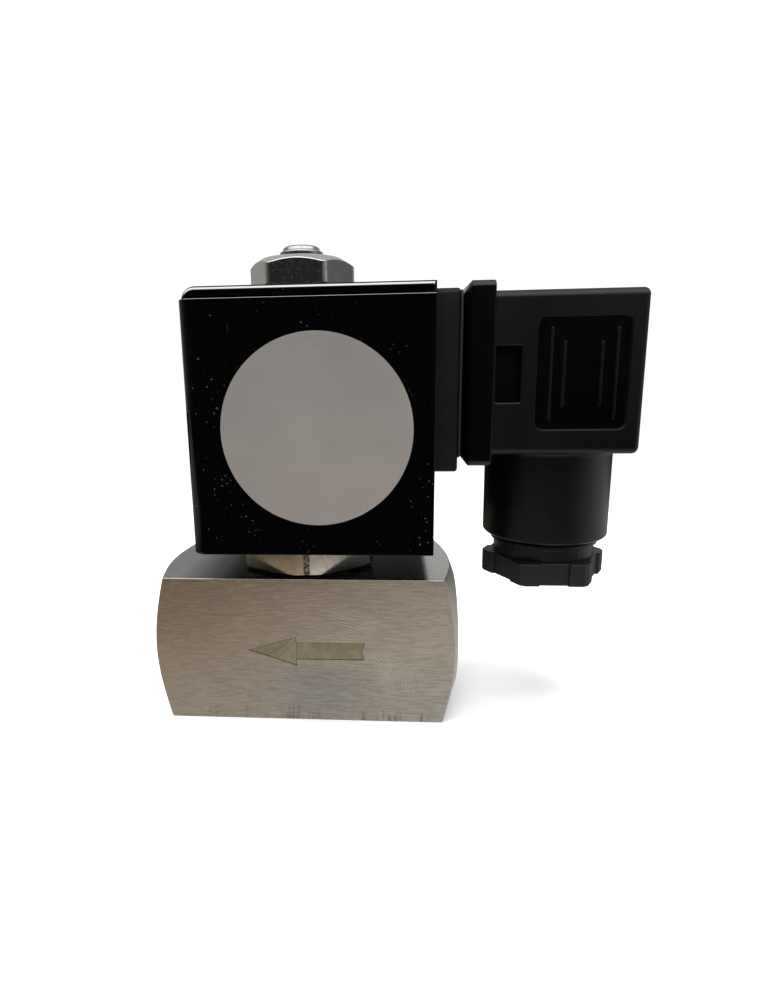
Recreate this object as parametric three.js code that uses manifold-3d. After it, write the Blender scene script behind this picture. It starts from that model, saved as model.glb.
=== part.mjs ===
// Direct-acting two-way solenoid valve, normally closed, as an assembly of separate pieces.
// Units are millimetres, +Z up. Pieces are drawn about the point where the port axis (X) meets
// the axis of the guide tube and coil (Z); the whole is then raised so that the origin is the
// middle of the body's flat bottom face. -Y is the front, with the label disc and flow arrow.
// Flow runs from the +X port to the -X port; the plug connector is on the +X side.
import * as THREE from "three";
import { mergeVertices } from "three/addons/utils/BufferGeometryUtils.js";
import Module from "manifold-3d";

const wasm = await Module();
wasm.setup();

// ---------------------------------------------------------------- shared dimensions
const GAP = 0.05; // left between faces that meet
const FIT = 0.06; // clearance round the coil's and the plug's inner pieces
const OVER = 1; // how far a cutting tool runs past the face it opens
const FAR = 100; // beyond every piece, for tools that go right through

const BODY_H = 26.3;
const TUBE_R = 7.0, TUBE_BORE_R = 6.35, TUBE_Z0 = 9.05, TUBE_TOP = 53.0;
const YOKE_Z0 = 19.15, YOKE_Z1 = 60.3;
const NUT_Z0 = 61.15;
const COIL_BORE_R = 7.35;
const BOBBIN_R = 13.2, BOBBIN_Z0 = 23.2, BOBBIN_Z1 = 56.6;
const BASE_X1 = 25.75; // outer face of the coil's connector base

// plug connector, form A of EN 175301-803: 28 mm flange, contacts 18 mm apart
const PLUG_Z = 46.6, PIN_OFFSET = 9.0, FLANGE_X0 = 26.25;
const BOSS_X = 42.9, GLAND_TOP = 24.0;
const CENTRE = [0, 0];
const PLUG_AXIS = [0, PLUG_Z]; // (y, z) of the central screw
const BOSS_AXIS = [BOSS_X, 0]; // (x, y) of the cable entry

// ---------------------------------------------------------------- solids
// a closed geometry as a solid that can be joined and cut
function solid(geometry) {
  const bare = geometry.clone();
  for (const name of Object.keys(bare.attributes)) {
    if (name !== "position") bare.deleteAttribute(name);
  }
  const merged = mergeVertices(bare, 1e-4);
  const made = new wasm.Manifold(new wasm.Mesh({
    numProp: 3,
    vertProperties: new Float32Array(merged.attributes.position.array),
    triVerts: new Uint32Array(merged.index.array),
  }));
  if (made.volume() < 0) throw new Error("a solid is inside out");
  return made;
}

// a solid back as a three.js geometry
function geometryOf(piece) {
  const { vertProperties, triVerts } = piece.getMesh();
  const geometry = new THREE.BufferGeometry();
  geometry.setAttribute("position", new THREE.BufferAttribute(vertProperties, 3));
  geometry.setIndex(new THREE.BufferAttribute(triVerts, 1));
  geometry.computeVertexNormals();
  return geometry;
}

const join = (...solids) => solids.reduce((a, b) => a.add(b));
const cut = (piece, ...tools) => tools.reduce((a, b) => a.subtract(b), piece);

// the two limits of each axis may come in either order
function box(x0, x1, y0, y1, z0, z1) {
  const block = new THREE.BoxGeometry(Math.abs(x1 - x0), Math.abs(y1 - y0), Math.abs(z1 - z0));
  return solid(block.translate((x0 + x1) / 2, (y0 + y1) / 2, (z0 + z1) / 2));
}

// Turned solids lie along axis "z", at = (x, y), or along axis "x", at = (y, z).
// points are [radius, place along the axis], anticlockwise so that the faces point out
function lathe(axis, points, segments = 32, at = CENTRE) {
  const turned = new THREE.LatheGeometry(points.map((p) => new THREE.Vector2(...p)), segments);
  if (axis === "z") turned.rotateX(Math.PI / 2).translate(at[0], at[1], 0);
  else turned.rotateZ(-Math.PI / 2).translate(0, at[0], at[1]);
  return solid(turned);
}
function cylinder(axis, radius, from, to, segments = 32, at = CENTRE) {
  return lathe(axis, [[0, from], [radius, from], [radius, to], [0, to]], segments, at);
}
const through = (axis, radius, segments, at) => cylinder(axis, radius, -FAR, FAR, segments, at);
function ring(axis, inner, outer, from, to, segments = 32, at = CENTRE) {
  return cut(cylinder(axis, outer, from, to, segments, at), through(axis, inner, segments, at));
}

// ---------------------------------------------------------------- outlines and prisms
function shapeOf(points) {
  const shape = new THREE.Shape(points.map((p) => new THREE.Vector2(...p)));
  shape.closePath();
  return shape;
}

function roundedRect(x0, x1, y0, y1, r) {
  const shape = new THREE.Shape();
  shape.moveTo(x0 + r, y0);
  shape.lineTo(x1 - r, y0);
  shape.absarc(x1 - r, y0 + r, r, -Math.PI / 2, 0, false);
  shape.lineTo(x1, y1 - r);
  shape.absarc(x1 - r, y1 - r, r, 0, Math.PI / 2, false);
  shape.lineTo(x0 + r, y1);
  shape.absarc(x0 + r, y1 - r, r, Math.PI / 2, Math.PI, false);
  shape.lineTo(x0, y0 + r);
  shape.absarc(x0 + r, y0 + r, r, Math.PI, 1.5 * Math.PI, false);
  return shape;
}

// a C strip, open towards +x, with its two corners on the low x side bent to radius outer
function channel(x0, x1, y0, y1, thick, outer) {
  const inner = Math.max(outer - thick, 0.3);
  const bend = thick + inner;
  const shape = new THREE.Shape();
  shape.moveTo(x1, y0);
  shape.lineTo(x1, y0 + thick);
  shape.lineTo(x0 + bend, y0 + thick);
  shape.absarc(x0 + bend, y0 + bend, inner, 1.5 * Math.PI, Math.PI, true);
  shape.lineTo(x0 + thick, y1 - bend);
  shape.absarc(x0 + bend, y1 - bend, inner, Math.PI, Math.PI / 2, true);
  shape.lineTo(x1, y1 - thick);
  shape.lineTo(x1, y1);
  shape.lineTo(x0 + outer, y1);
  shape.absarc(x0 + outer, y1 - outer, outer, Math.PI / 2, Math.PI, false);
  shape.lineTo(x0, y0 + outer);
  shape.absarc(x0 + outer, y0 + outer, outer, Math.PI, 1.5 * Math.PI, false);
  shape.closePath();
  return shape;
}

// turn, in degrees, moves the first corner away from the +x axis
function hexagon(cornerRadius, turn = 0) {
  return shapeOf([0, 1, 2, 3, 4, 5].map((i) => {
    const angle = THREE.MathUtils.degToRad(turn + 60 * i);
    return [cornerRadius * Math.cos(angle), cornerRadius * Math.sin(angle)];
  }));
}
const cornerRadiusOf = (acrossFlats) => acrossFlats / Math.sqrt(3);

function extrude(shape, depth, curveSegments, bevel = {}) {
  return new THREE.ExtrudeGeometry(shape, { depth, curveSegments, bevelEnabled: false, ...bevel });
}
// drawn in (x, y), from z0 to z1
function prismZ(shape, z0, z1, curveSegments = 6) {
  return solid(extrude(shape, z1 - z0, curveSegments).translate(0, 0, z0));
}
// drawn in (x, z), from y0 to y1
function prismY(shape, y0, y1, curveSegments = 6) {
  return solid(extrude(shape, y1 - y0, curveSegments).rotateX(Math.PI / 2).translate(0, y1, 0));
}
// drawn in (y, z), from x0 to x1; a bevel takes depth off both ends and size off the outline
function prismX(shape, x0, x1, curveSegments, { depth = 0, size = 0, segments = 1 } = {}) {
  const prism = extrude(shape, x1 - x0 - 2 * depth, curveSegments, {
    bevelEnabled: depth > 0,
    bevelThickness: depth,
    bevelSize: size,
    bevelOffset: -size,
    bevelSegments: segments,
  });
  const zToX = new THREE.Matrix4().set(0, 0, 1, 0, 1, 0, 0, 0, 0, 1, 0, 0, 0, 0, 0, 1);
  return solid(prism.applyMatrix4(zToX).translate(x0 + depth, 0, 0));
}

// ---------------------------------------------------------------- materials
const plain = (options) => new THREE.MeshStandardMaterial({ metalness: 0, ...options });
const metal = (options) => plain({ metalness: 1, ...options });
const materials = {
  stainless: metal({ color: 0x9a9288, roughness: 0.42 }),
  bright: metal({ color: 0xb9b7b0, roughness: 0.15 }),
  core: metal({ color: 0x8d8d8b, roughness: 0.35 }),
  copper: metal({ color: 0xb0693a, roughness: 0.35 }),
  spring: metal({ color: 0xa8a8a6, roughness: 0.25 }),
  blackPaint: plain({ color: 0x060607, roughness: 0.12 }),
  label: plain({ color: 0x8f8c85, roughness: 0.55, metalness: 0.2 }),
  coilResin: plain({ color: 0x1c1c1d, roughness: 0.75 }),
  bobbin: plain({ color: 0xcfc9b8, roughness: 0.5 }),
  brass: metal({ color: 0xb59550, roughness: 0.3 }),
  tin: metal({ color: 0xb8b8b4, roughness: 0.25 }),
  plug: plain({ color: 0x0d0d10, roughness: 0.45 }),
  insert: plain({ color: 0x2b2b2d, roughness: 0.5 }),
  rubber: plain({ color: 0x121212, roughness: 0.85 }),
  seal: plain({ color: 0x3a2a1e, roughness: 0.7 }),
  zinc: metal({ color: 0xa9adaf, roughness: 0.25 }),
};

// ---------------------------------------------------------------- valve body
// a stainless bar with turned ends
function valveBody() {
  const L = 53.8 / 2, D = 25.0 / 2, H = BODY_H / 2;
  // the ends are a shallow cone, which bows the ends of the bar's flat faces
  const endR = 10.44, turnedR = 19.5, endSlope = 0.359; // slope is X lost per mm of radius
  const coneX = L - (turnedR - endR) * endSlope;
  const portR = 7.475, mouthR = 8.7, portX = L - 12.4; // G3/8, 14.95 mm minor diameter
  const mouthX = L - (mouthR - portR), past = 0.5;
  const socket = { radius: 8.2, z: 6.0 }, sealRecess = { radius: 9.8, z: 11.6 };
  const chamber = { radius: 6.9, z: 1.2 }, seat = { radius: 3.4, z: 5.0 };
  const orificeR = 2.25;
  const inlet = { radius: 2.0, x: 5.2, z: 3.3 }, outlet = { radius: 2.5, z: -4.0 };
  const arrowDepth = 0.15;
  // (x, z) outline, tip first, pointing from inlet to outlet
  const arrow = [
    [-9.8, -0.05], [-1.1, -2.8], [-1.1, -1.7], [10.7, -1.65],
    [10.7, 1.65], [-1.1, 1.6], [-1.1, 2.75],
  ];

  const turned = lathe("x", [
    [0, -L], [endR, -L], [turnedR, -coneX], [turnedR, coneX], [endR, L], [0, L],
  ], 56);
  const bar = box(-L - OVER, L + OVER, -D, D, -H, H).intersect(turned);
  // countersunk port at +X
  const port = lathe("x", [
    [0, portX], [portR, portX], [portR, mouthX], [mouthR + past, L + past], [0, L + past],
  ], 40);
  return cut(bar,
    port,
    port.mirror([1, 0, 0]),
    cylinder("z", socket.radius, socket.z, H + OVER),
    cylinder("z", sealRecess.radius, sealRecess.z, H + OVER),
    // the chamber leaves the seat standing in its middle
    cut(cylinder("z", chamber.radius, chamber.z, socket.z + 0.5, 26),
      cylinder("z", seat.radius, chamber.z - OVER, seat.z, 26)),
    cylinder("z", orificeR, outlet.z, seat.z + OVER, 22),
    cylinder("x", inlet.radius, inlet.x, portX + OVER, 16, [0, inlet.z]),
    cylinder("x", outlet.radius, -portX - OVER, orificeR, 16, [0, outlet.z]),
    prismY(shapeOf(arrow), -D - OVER, -D + arrowDepth));
}

// ---------------------------------------------------------------- guide tube assembly
function tubeORing() {
  const radius = 8.98, sectionR = 0.72, z = 12.38;
  return solid(new THREE.TorusGeometry(radius, sectionR, 8, 28).translate(0, 0, z));
}

// screws into the body; its corners are chamfered top and bottom
function hexFlange() {
  const acrossFlats = 23.0, z0 = 13.7, z1 = 19.0, turn = 30 + 4.8;
  const collar = { radius: 11.0, z: 13.2 }, spigot = { radius: 8.0, z: 6.3 };
  const cornerR = cornerRadiusOf(acrossFlats), flatR = acrossFlats / 2;
  const faceR = flatR - 0.15, outR = cornerR + 0.2;
  const chamfer = (cornerR - flatR) * 0.3 + 0.2;
  const hex = prismZ(hexagon(cornerR, turn), z0, z1).intersect(lathe("z", [
    [0, z0], [faceR, z0], [outR, z0 + chamfer], [outR, z1 - chamfer], [faceR, z1], [0, z1],
  ], 40));
  const whole = join(hex,
    cylinder("z", collar.radius, collar.z, z0 + 0.1),
    cylinder("z", spigot.radius, spigot.z, collar.z + 0.1));
  return cut(whole,
    cylinder("z", TUBE_R + GAP, TUBE_Z0 - GAP, FAR, 26),
    through("z", TUBE_BORE_R, 26));
}

const CORE_Z = 42.0;
const GROOVE = { inner: 4.2, outer: 5.4, depth: 1.4 }; // in the core's lower face

function fixedCore() {
  const radius = 6.3, shoulderZ = 58.35, studR = 3.95, tipR = 3.65, studTop = 68.3;
  const core = lathe("z", [
    [0, CORE_Z], [5.9, CORE_Z], [radius, CORE_Z + 0.5], [radius, TUBE_TOP + GAP],
    [TUBE_R, TUBE_TOP + GAP], [TUBE_R, shoulderZ], [studR, shoulderZ], [studR, 66.4],
    [tipR, 66.7], [tipR, 67.6], [tipR - 0.25, 68.1], [tipR - 0.8, studTop], [0, studTop],
  ]);
  return cut(core,
    ring("z", GROOVE.inner, GROOVE.outer, CORE_Z - OVER, CORE_Z + GROOVE.depth, 24));
}

function shadingRing() {
  const side = 0.1; // clearance in the groove
  return ring("z", GROOVE.inner + side, GROOVE.outer - side,
    CORE_Z + GAP, CORE_Z + GROOVE.depth - side, 24);
}

// ---------------------------------------------------------------- plunger, seal and spring
function plunger() {
  const radius = 6.0, endR = 5.6, chamfer = 0.4, z0 = 5.75, z1 = 39.95;
  const sealPocket = { radius: 3.4, z: 8.0 }, springPocket = { radius: 3.0, z: 30.0 };
  const flatY = 5.45; // the two flats let the fluid past
  const flat = box(-8, 8, flatY, 9, 0, FAR);
  return cut(
    lathe("z", [
      [0, z0], [endR, z0], [radius, z0 + chamfer], [radius, z1 - chamfer], [endR, z1], [0, z1],
    ], 26),
    cylinder("z", sealPocket.radius, 0, sealPocket.z, 22),
    cylinder("z", springPocket.radius, springPocket.z, FAR, 22),
    flat,
    flat.mirror([0, 1, 0]));
}

function seatSeal() {
  return lathe("z", [[0, 5.04], [3.1, 5.04], [3.3, 5.24], [3.3, 7.95], [0, 7.95]], 22);
}

const SPRING = { radius: 2.3, wireR: 0.35, z0: 30.45, z1: 41.55, turns: 7 };

class SpringHelix extends THREE.Curve {
  getPoint(t, out = new THREE.Vector3()) {
    const { radius, z0, z1, turns } = SPRING;
    const angle = t * turns * 2 * Math.PI;
    // the end turns close up, as on a ground compression spring
    const fromEnd = Math.min(t, 1 - t);
    const lift = fromEnd < 1 / turns ? fromEnd * (0.35 + 0.5 * fromEnd * turns) : fromEnd;
    const rise = t < 0.5 ? lift : 1 - lift;
    return out.set(radius * Math.cos(angle), radius * Math.sin(angle), z0 + rise * (z1 - z0));
  }
}

function plungerSpring() {
  return solid(new THREE.ExtrudeGeometry(hexagon(SPRING.wireR), {
    steps: SPRING.turns * 10,
    extrudePath: new SpringHelix(),
    bevelEnabled: false,
  }));
}

// ---------------------------------------------------------------- coil frame and cover
function yokeFrame() {
  const x0 = -16.05, x1 = 21.9, halfY = 17.3, thick = 1.8, bend = 2.1;
  const cornerR = 2.3; // upright corners, rounded to sit inside the cover's bends
  const studHoleR = 4.3, tubeHoleR = 7.4, reach = 5, skin = 0.01;
  const strip = prismY(channel(x0, x1, YOKE_Z0, YOKE_Z1, thick, bend), -halfY, halfY, 8);
  const rounding = roundedRect(x0 - skin, x1 + 20, -halfY - skin, halfY + skin, cornerR);
  return cut(strip.intersect(prismZ(rounding, YOKE_Z0 - OVER, YOKE_Z1 + OVER)),
    cylinder("z", studHoleR, YOKE_Z1 - reach, YOKE_Z1 + reach, 26),
    cylinder("z", tubeHoleR, YOKE_Z0 - reach, YOKE_Z0 + reach, 26));
}

const COVER_HALF_Y = 18.0;

function coilCover() {
  const x0 = -16.7, x1 = 21.84, z0 = 19.1, z1 = 58.45, thick = 0.6, bend = 2.4;
  return prismZ(channel(x0, x1, -COVER_HALF_Y, COVER_HALF_Y, thick, bend), z0, z1, 8);
}

function labelDisc() {
  const radius = 14.7, thick = 0.25, x = 3.9, z = 38.8, gap = 0.02;
  const disc = new THREE.CylinderGeometry(radius, radius, thick, 48);
  return solid(disc.translate(x, -COVER_HALF_Y - gap - thick / 2, z));
}

// ---------------------------------------------------------------- terminals
// up is the way out from the plug's axis along Z; the earth terminal lies towards +Y instead
const TERMINALS = [
  { id: "1", bladeName: "terminal_blade_1", up: 1 },
  { id: "2", bladeName: "terminal_blade_2", up: -1 },
  { id: "earth", bladeName: "earth_blade", up: 0 },
];

// (y, z) of a point that lies this far out from the plug's axis
function terminalPoint({ up }, distance) {
  return up ? [0, PLUG_Z + up * distance] : [distance, PLUG_Z];
}

// a box across a terminal; inner and outer are measured outwards from the blade's mid-plane
function terminalBox(terminal, x0, x1, halfWidth, inner, outer) {
  const [y0, z0] = terminalPoint(terminal, PIN_OFFSET + inner);
  const [y1, z1] = terminalPoint(terminal, PIN_OFFSET + outer);
  return terminal.up
    ? box(x0, x1, -halfWidth, halfWidth, z0, z1)
    : box(x0, x1, y0, y1, PLUG_Z - halfWidth, PLUG_Z + halfWidth);
}

// 6.3 x 0.8 mm contact blade
function blade(terminal, grow = 0) {
  const half = 0.4 + grow;
  return terminalBox(terminal, 20.5 - grow, 33.6 + grow, 3.15 + grow, -half, half);
}

const CONTACT = { x0: 27.6, x1: 37.6, halfWidth: 3.9, halfThick: 1.35 };
const CLAMP = { x0: 34.0, x1: 39.3, inward: 3.3 }; // thicker end, towards the plug's axis
const CLAMP_SCREW_INWARD = 1.4; // from the blade's mid-plane

function contactBlank(terminal, grow = 0) {
  const width = CONTACT.halfWidth + grow, half = CONTACT.halfThick + grow;
  return join(
    terminalBox(terminal, CONTACT.x0 - grow, CONTACT.x1 + grow, width, -half, half),
    terminalBox(terminal, CLAMP.x0 - grow, CLAMP.x1 + grow, width, -CLAMP.inward - grow, half));
}

function contact(terminal) {
  const at = terminalPoint(terminal, PIN_OFFSET - CLAMP_SCREW_INWARD);
  return cut(contactBlank(terminal),
    terminalBox(terminal, 26, 34.4, 3.4, -0.55, 0.55), // slot for the blade
    cylinder("x", 1.55, 35.0, 45, 12, at));
}

function clampScrew(terminal) {
  const slotHalf = 0.35;
  const at = terminalPoint(terminal, PIN_OFFSET - CLAMP_SCREW_INWARD);
  const shank = cylinder("x", 1.45, 35.4, 39.8, 12, at);
  const head = cylinder("x", 2.3, 39.6, 41.4, 16, at);
  return cut(join(shank, head), terminalBox(terminal, 40.7, 42, 4,
    -CLAMP_SCREW_INWARD - slotHalf, -CLAMP_SCREW_INWARD + slotHalf));
}

// ---------------------------------------------------------------- moulded coil
function coilEncapsulation() {
  const x0 = -14.1, x1 = 21.5, halfY = 16.8, z0 = 21.2, z1 = 58.25;
  const base = { x0: 22.2, halfY: 13.0, z0: 31.5, z1: 59.7 }; // carries the connector
  const endGap = 0.1; // above and below the bobbin
  const insertHole = { radius: 2.75, x: 18.6 };
  return cut(
    join(
      prismZ(roundedRect(x0, x1, -halfY, halfY, 1.5), z0, z1, 3),
      box(x1 - 1, base.x0 + 0.2, -base.halfY, base.halfY, base.z0, z1),
      prismX(roundedRect(-base.halfY, base.halfY, base.z0, base.z1, 0.8), base.x0, BASE_X1, 3)),
    cylinder("z", BOBBIN_R + FIT, BOBBIN_Z0 - endGap, BOBBIN_Z1 + endGap),
    through("z", COIL_BORE_R, 26),
    cylinder("x", insertHole.radius, insertHole.x, FAR, 16, PLUG_AXIS),
    ...TERMINALS.map((terminal) => blade(terminal, FIT)));
}

// takes the connector screw
const screwInsert = () => ring("x", 1.62, 2.65, 18.7, 25.8, 16, PLUG_AXIS);

const BARREL_R = 8.3, BOBBIN_FLANGE_T = 1.2;

function bobbin() {
  const lowZ = BOBBIN_Z0 + BOBBIN_FLANGE_T, highZ = BOBBIN_Z1 - BOBBIN_FLANGE_T;
  const spool = lathe("z", [
    [0, BOBBIN_Z0], [BOBBIN_R, BOBBIN_Z0], [BOBBIN_R, lowZ], [BARREL_R, lowZ],
    [BARREL_R, highZ], [BOBBIN_R, highZ], [BOBBIN_R, BOBBIN_Z1], [0, BOBBIN_Z1],
  ]);
  return cut(spool, through("z", COIL_BORE_R, 26));
}

function coilWinding() {
  const inset = BOBBIN_FLANGE_T + FIT;
  return ring("z", BARREL_R + FIT, 12.9, BOBBIN_Z0 + inset, BOBBIN_Z1 - inset);
}

// ---------------------------------------------------------------- coil nut and its washer
const nutWasher = () => ring("z", 4.25, 7.6, YOKE_Z1 + GAP, NUT_Z0 - GAP, 26);

function coilNut() {
  const acrossFlats = 16.0, z1 = 66.2, boreR = 4.15;
  const cornerR = cornerRadiusOf(acrossFlats), flatR = acrossFlats / 2;
  const hex = prismZ(hexagon(cornerR), NUT_Z0, z1).intersect(lathe("z", [
    [0, NUT_Z0], [flatR + 0.1, NUT_Z0], [cornerR + 0.1, NUT_Z0 + 0.5],
    [cornerR + 0.1, z1 - 1.1], [flatR - 0.6, z1], [0, z1],
  ], 40));
  return cut(hex, through("z", boreR, 26));
}

// ---------------------------------------------------------------- plug connector
// a square about the plug's axis
const plugSquare = (half, r) => roundedRect(-half, half, PLUG_Z - half, PLUG_Z + half, r);

function flangeGasket() {
  const opening = 10.4;
  return cut(prismX(plugSquare(12.9, 1.5), BASE_X1 + GAP, FLANGE_X0 - GAP, 3),
    box(20, 30, -opening, opening, PLUG_Z - opening, PLUG_Z + opening));
}

// sunk panel and catch window in the +Y side of the housing
function housingSide(sideY) {
  const depth = 0.35, ribTopY = sideY - 0.1, ribHalf = 0.22;
  // upright ribs left standing in the panel: x, z from, z to
  const ribs = [[39.4, 39.6, 53.6], [41.35, 41.7, 51.6], [46.9, 41.7, 51.5], [49.1, 39.6, 53.4]];
  const panel = prismY(roundedRect(37.3, 51.0, 38.1, 55.2, 1.1), sideY - depth, sideY + OVER, 4);
  const ribBoxes = ribs.map(([x, z0, z1]) =>
    box(x - ribHalf, x + ribHalf, sideY - 0.6, ribTopY, z0, z1));
  return [cut(panel, ...ribBoxes), box(31.1, 35.0, 11, 15, 42.4, 51.0)];
}

function connectorHousing() {
  const flangeX1 = 30.9, flangeHalf = 14.0;
  const x1 = 53.5, halfY = 13.6, z0 = 34.3, z1 = 59.1;
  const boss = { radius: 10.75, z: 18.65, boreR: 9.4, boreTop: 31.2, cableR: 7.4 };
  const pillar = { radius: 4.9, x: 46.5, screwR: 1.9, recessR: 3.7, recessX: 49.6 };
  const shell = join(
    prismX(plugSquare(flangeHalf, 2.0), FLANGE_X0, flangeX1 - 1, 4, { depth: 1.1, size: 1.7 }),
    prismX(plugSquare(flangeHalf, 1.3), FLANGE_X0 + 1.3, flangeX1, 4),
    prismX(roundedRect(-halfY, halfY, z0, z1, 1.1), flangeX1 - 2, x1, 4,
      { depth: 0.8, size: 0.8, segments: 2 }),
    cylinder("z", boss.radius, boss.z, z0 + 1.5, 36, BOSS_AXIS));
  const hollow = cut(shell,
    box(FLANGE_X0 - OVER, 51.4, -11.6, 11.6, 36.0, 57.4),
    cylinder("z", boss.boreR, boss.z - OVER, boss.boreTop, 32, BOSS_AXIS),
    cylinder("z", boss.cableR, 30, 37, 26, BOSS_AXIS));
  const side = housingSide(halfY);
  // the pillar takes the central screw, with a recess for its head
  return cut(join(hollow, cylinder("x", pillar.radius, pillar.x, x1 - 1.0, 24, PLUG_AXIS)),
    cylinder("x", pillar.screwR, 40, FAR, 16, PLUG_AXIS),
    cylinder("x", pillar.recessR, pillar.recessX, FAR, 24, PLUG_AXIS),
    ...side,
    ...side.map((tool) => tool.mirror([0, 1, 0])));
}

// terminal block: the contacts sit in pockets open at the back (+X)
function terminalInsert() {
  const block = prismX(roundedRect(-11.4, 11.4, 36.2, 57.2, 1.2), 27.0, 39.4, 3);
  const pockets = TERMINALS.flatMap((terminal) => [
    contactBlank(terminal, FIT),
    terminalBox(terminal, 26, 28.5, 3.6, -0.7, 0.7), // room for the blade on its way in
    terminalBox(terminal, 39, 40, CONTACT.halfWidth + FIT,
      -CLAMP.inward - FIT, CONTACT.halfThick + FIT),
  ]);
  return cut(block, through("x", 1.9, 16, PLUG_AXIS), ...pockets);
}

const screwSeal = () => ring("x", 1.65, 3.45, 49.65, 50.25, 18, PLUG_AXIS);

function connectorScrew() {
  const slotHalf = 0.4;
  const shank = cylinder("x", 1.45, 20.4, 51, 16, PLUG_AXIS);
  const head = lathe("x", [
    [0, 50.3], [2.95, 50.3], [2.95, 52.3], [2.6, 52.65], [0, 52.65],
  ], 22, PLUG_AXIS);
  return cut(join(shank, head), box(51.4, 54, -4, 4, PLUG_Z - slotHalf, PLUG_Z + slotHalf));
}

// ---------------------------------------------------------------- cable gland
function glandBush() {
  const bush = lathe("z", [
    [0, 25.15], [8.6, 25.15], [9.25, 25.8], [9.25, 29.4], [7.6, 31.0], [0, 31.0],
  ], 26, BOSS_AXIS);
  return cut(bush, through("z", 3.1, 18, BOSS_AXIS));
}

const glandRing = () => ring("z", 4.6, 9.1, GLAND_TOP + 0.08, 25.08, 26, BOSS_AXIS);

// union nut: a hexagon whose corner pads stand proud of the sunk middle of each face
function glandNut() {
  const z0 = 11.05, z1 = 15.0, holeR = 5.6, barrelR = 9.2;
  const pad = 9.55, face = 9.05, corner = 4.93, sunkHalf = 2.35;
  // one face: distance out from the axis, place along the face
  const faceLine = [
    [pad, -corner], [pad, -sunkHalf - 0.1], [face, -sunkHalf],
    [face, sunkHalf], [pad, sunkHalf + 0.1], [pad, corner],
  ];
  const outline = [];
  for (let i = 0; i < 6; i++) {
    const angle = THREE.MathUtils.degToRad(-90 + 60 * i);
    const cos = Math.cos(angle), sin = Math.sin(angle);
    for (const [out, along] of faceLine) {
      outline.push([BOSS_X + out * cos - along * sin, out * sin + along * cos]);
    }
  }
  const barrel = lathe("z", [
    [0, z1 - 0.5], [barrelR - 0.45, z1 - 0.5], [barrelR - 0.45, 17.3], [barrelR, 17.4],
    [barrelR, 18.0], [barrelR - 0.4, 18.1], [barrelR - 0.4, 18.6], [barrelR, 18.75],
    [barrelR, GLAND_TOP - 0.4], [barrelR - 0.4, GLAND_TOP], [0, GLAND_TOP],
  ], 32, BOSS_AXIS);
  return cut(join(prismZ(shapeOf(outline), z0, z1), barrel), through("z", holeR, 26, BOSS_AXIS));
}

// ---------------------------------------------------------------- assembly
const root = new THREE.Group();
function add(name, piece, material) {
  const mesh = new THREE.Mesh(geometryOf(piece), material);
  mesh.name = name;
  root.add(mesh);
}

add("valve_body", valveBody(), materials.stainless);
add("tube_o_ring", tubeORing(), materials.rubber);
add("hex_flange", hexFlange(), materials.bright);
add("guide_tube", ring("z", TUBE_BORE_R, TUBE_R, TUBE_Z0, TUBE_TOP, 26), materials.bright);
add("fixed_core", fixedCore(), materials.bright);
add("shading_ring", shadingRing(), materials.copper);
add("plunger", plunger(), materials.core);
add("seat_seal", seatSeal(), materials.seal);
add("plunger_spring", plungerSpring(), materials.spring);
add("yoke_frame", yokeFrame(), materials.blackPaint);
add("coil_cover", coilCover(), materials.blackPaint);
add("label_disc", labelDisc(), materials.label);
add("coil_encapsulation", coilEncapsulation(), materials.coilResin);
for (const terminal of TERMINALS) add(terminal.bladeName, blade(terminal), materials.tin);
add("screw_insert", screwInsert(), materials.brass);
add("bobbin", bobbin(), materials.bobbin);
add("coil_winding", coilWinding(), materials.copper);
add("nut_washer", nutWasher(), materials.bright);
add("coil_nut", coilNut(), materials.bright);
add("flange_gasket", flangeGasket(), materials.rubber);
add("connector_housing", connectorHousing(), materials.plug);
add("terminal_insert", terminalInsert(), materials.insert);
for (const terminal of TERMINALS) {
  add(`contact_${terminal.id}`, contact(terminal), materials.brass);
  add(`clamp_screw_${terminal.id}`, clampScrew(terminal), materials.zinc);
}
add("gland_bush", glandBush(), materials.rubber);
add("gland_ring", glandRing(), materials.insert);
add("gland_nut", glandNut(), materials.plug);
add("screw_seal", screwSeal(), materials.rubber);
add("connector_screw", connectorScrew(), materials.zinc);

// the part stands on the flat bottom face of the valve body
root.position.z = BODY_H / 2;
const part = new THREE.Group();
part.add(root);
export default part;
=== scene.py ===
import math
from collections import namedtuple
from functools import cached_property

import bpy
import bmesh
from mathutils import Vector, Matrix


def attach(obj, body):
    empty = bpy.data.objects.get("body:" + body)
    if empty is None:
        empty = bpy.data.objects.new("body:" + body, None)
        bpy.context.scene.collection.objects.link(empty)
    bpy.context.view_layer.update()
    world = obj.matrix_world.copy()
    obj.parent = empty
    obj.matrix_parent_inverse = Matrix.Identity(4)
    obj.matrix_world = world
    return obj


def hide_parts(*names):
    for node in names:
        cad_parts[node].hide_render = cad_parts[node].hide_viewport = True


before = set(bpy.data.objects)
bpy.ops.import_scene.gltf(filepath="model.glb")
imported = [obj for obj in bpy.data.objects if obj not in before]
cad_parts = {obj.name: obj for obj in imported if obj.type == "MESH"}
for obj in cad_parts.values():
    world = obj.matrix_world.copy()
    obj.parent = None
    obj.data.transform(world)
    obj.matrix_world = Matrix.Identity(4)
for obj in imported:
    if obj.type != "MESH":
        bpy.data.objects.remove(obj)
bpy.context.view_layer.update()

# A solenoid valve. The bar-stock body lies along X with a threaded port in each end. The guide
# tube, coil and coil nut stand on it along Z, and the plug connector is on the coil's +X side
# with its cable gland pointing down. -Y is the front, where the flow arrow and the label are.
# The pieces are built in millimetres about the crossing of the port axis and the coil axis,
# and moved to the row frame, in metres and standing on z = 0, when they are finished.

PI = math.pi
TAU = 2 * math.pi
MM = 0.001

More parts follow.
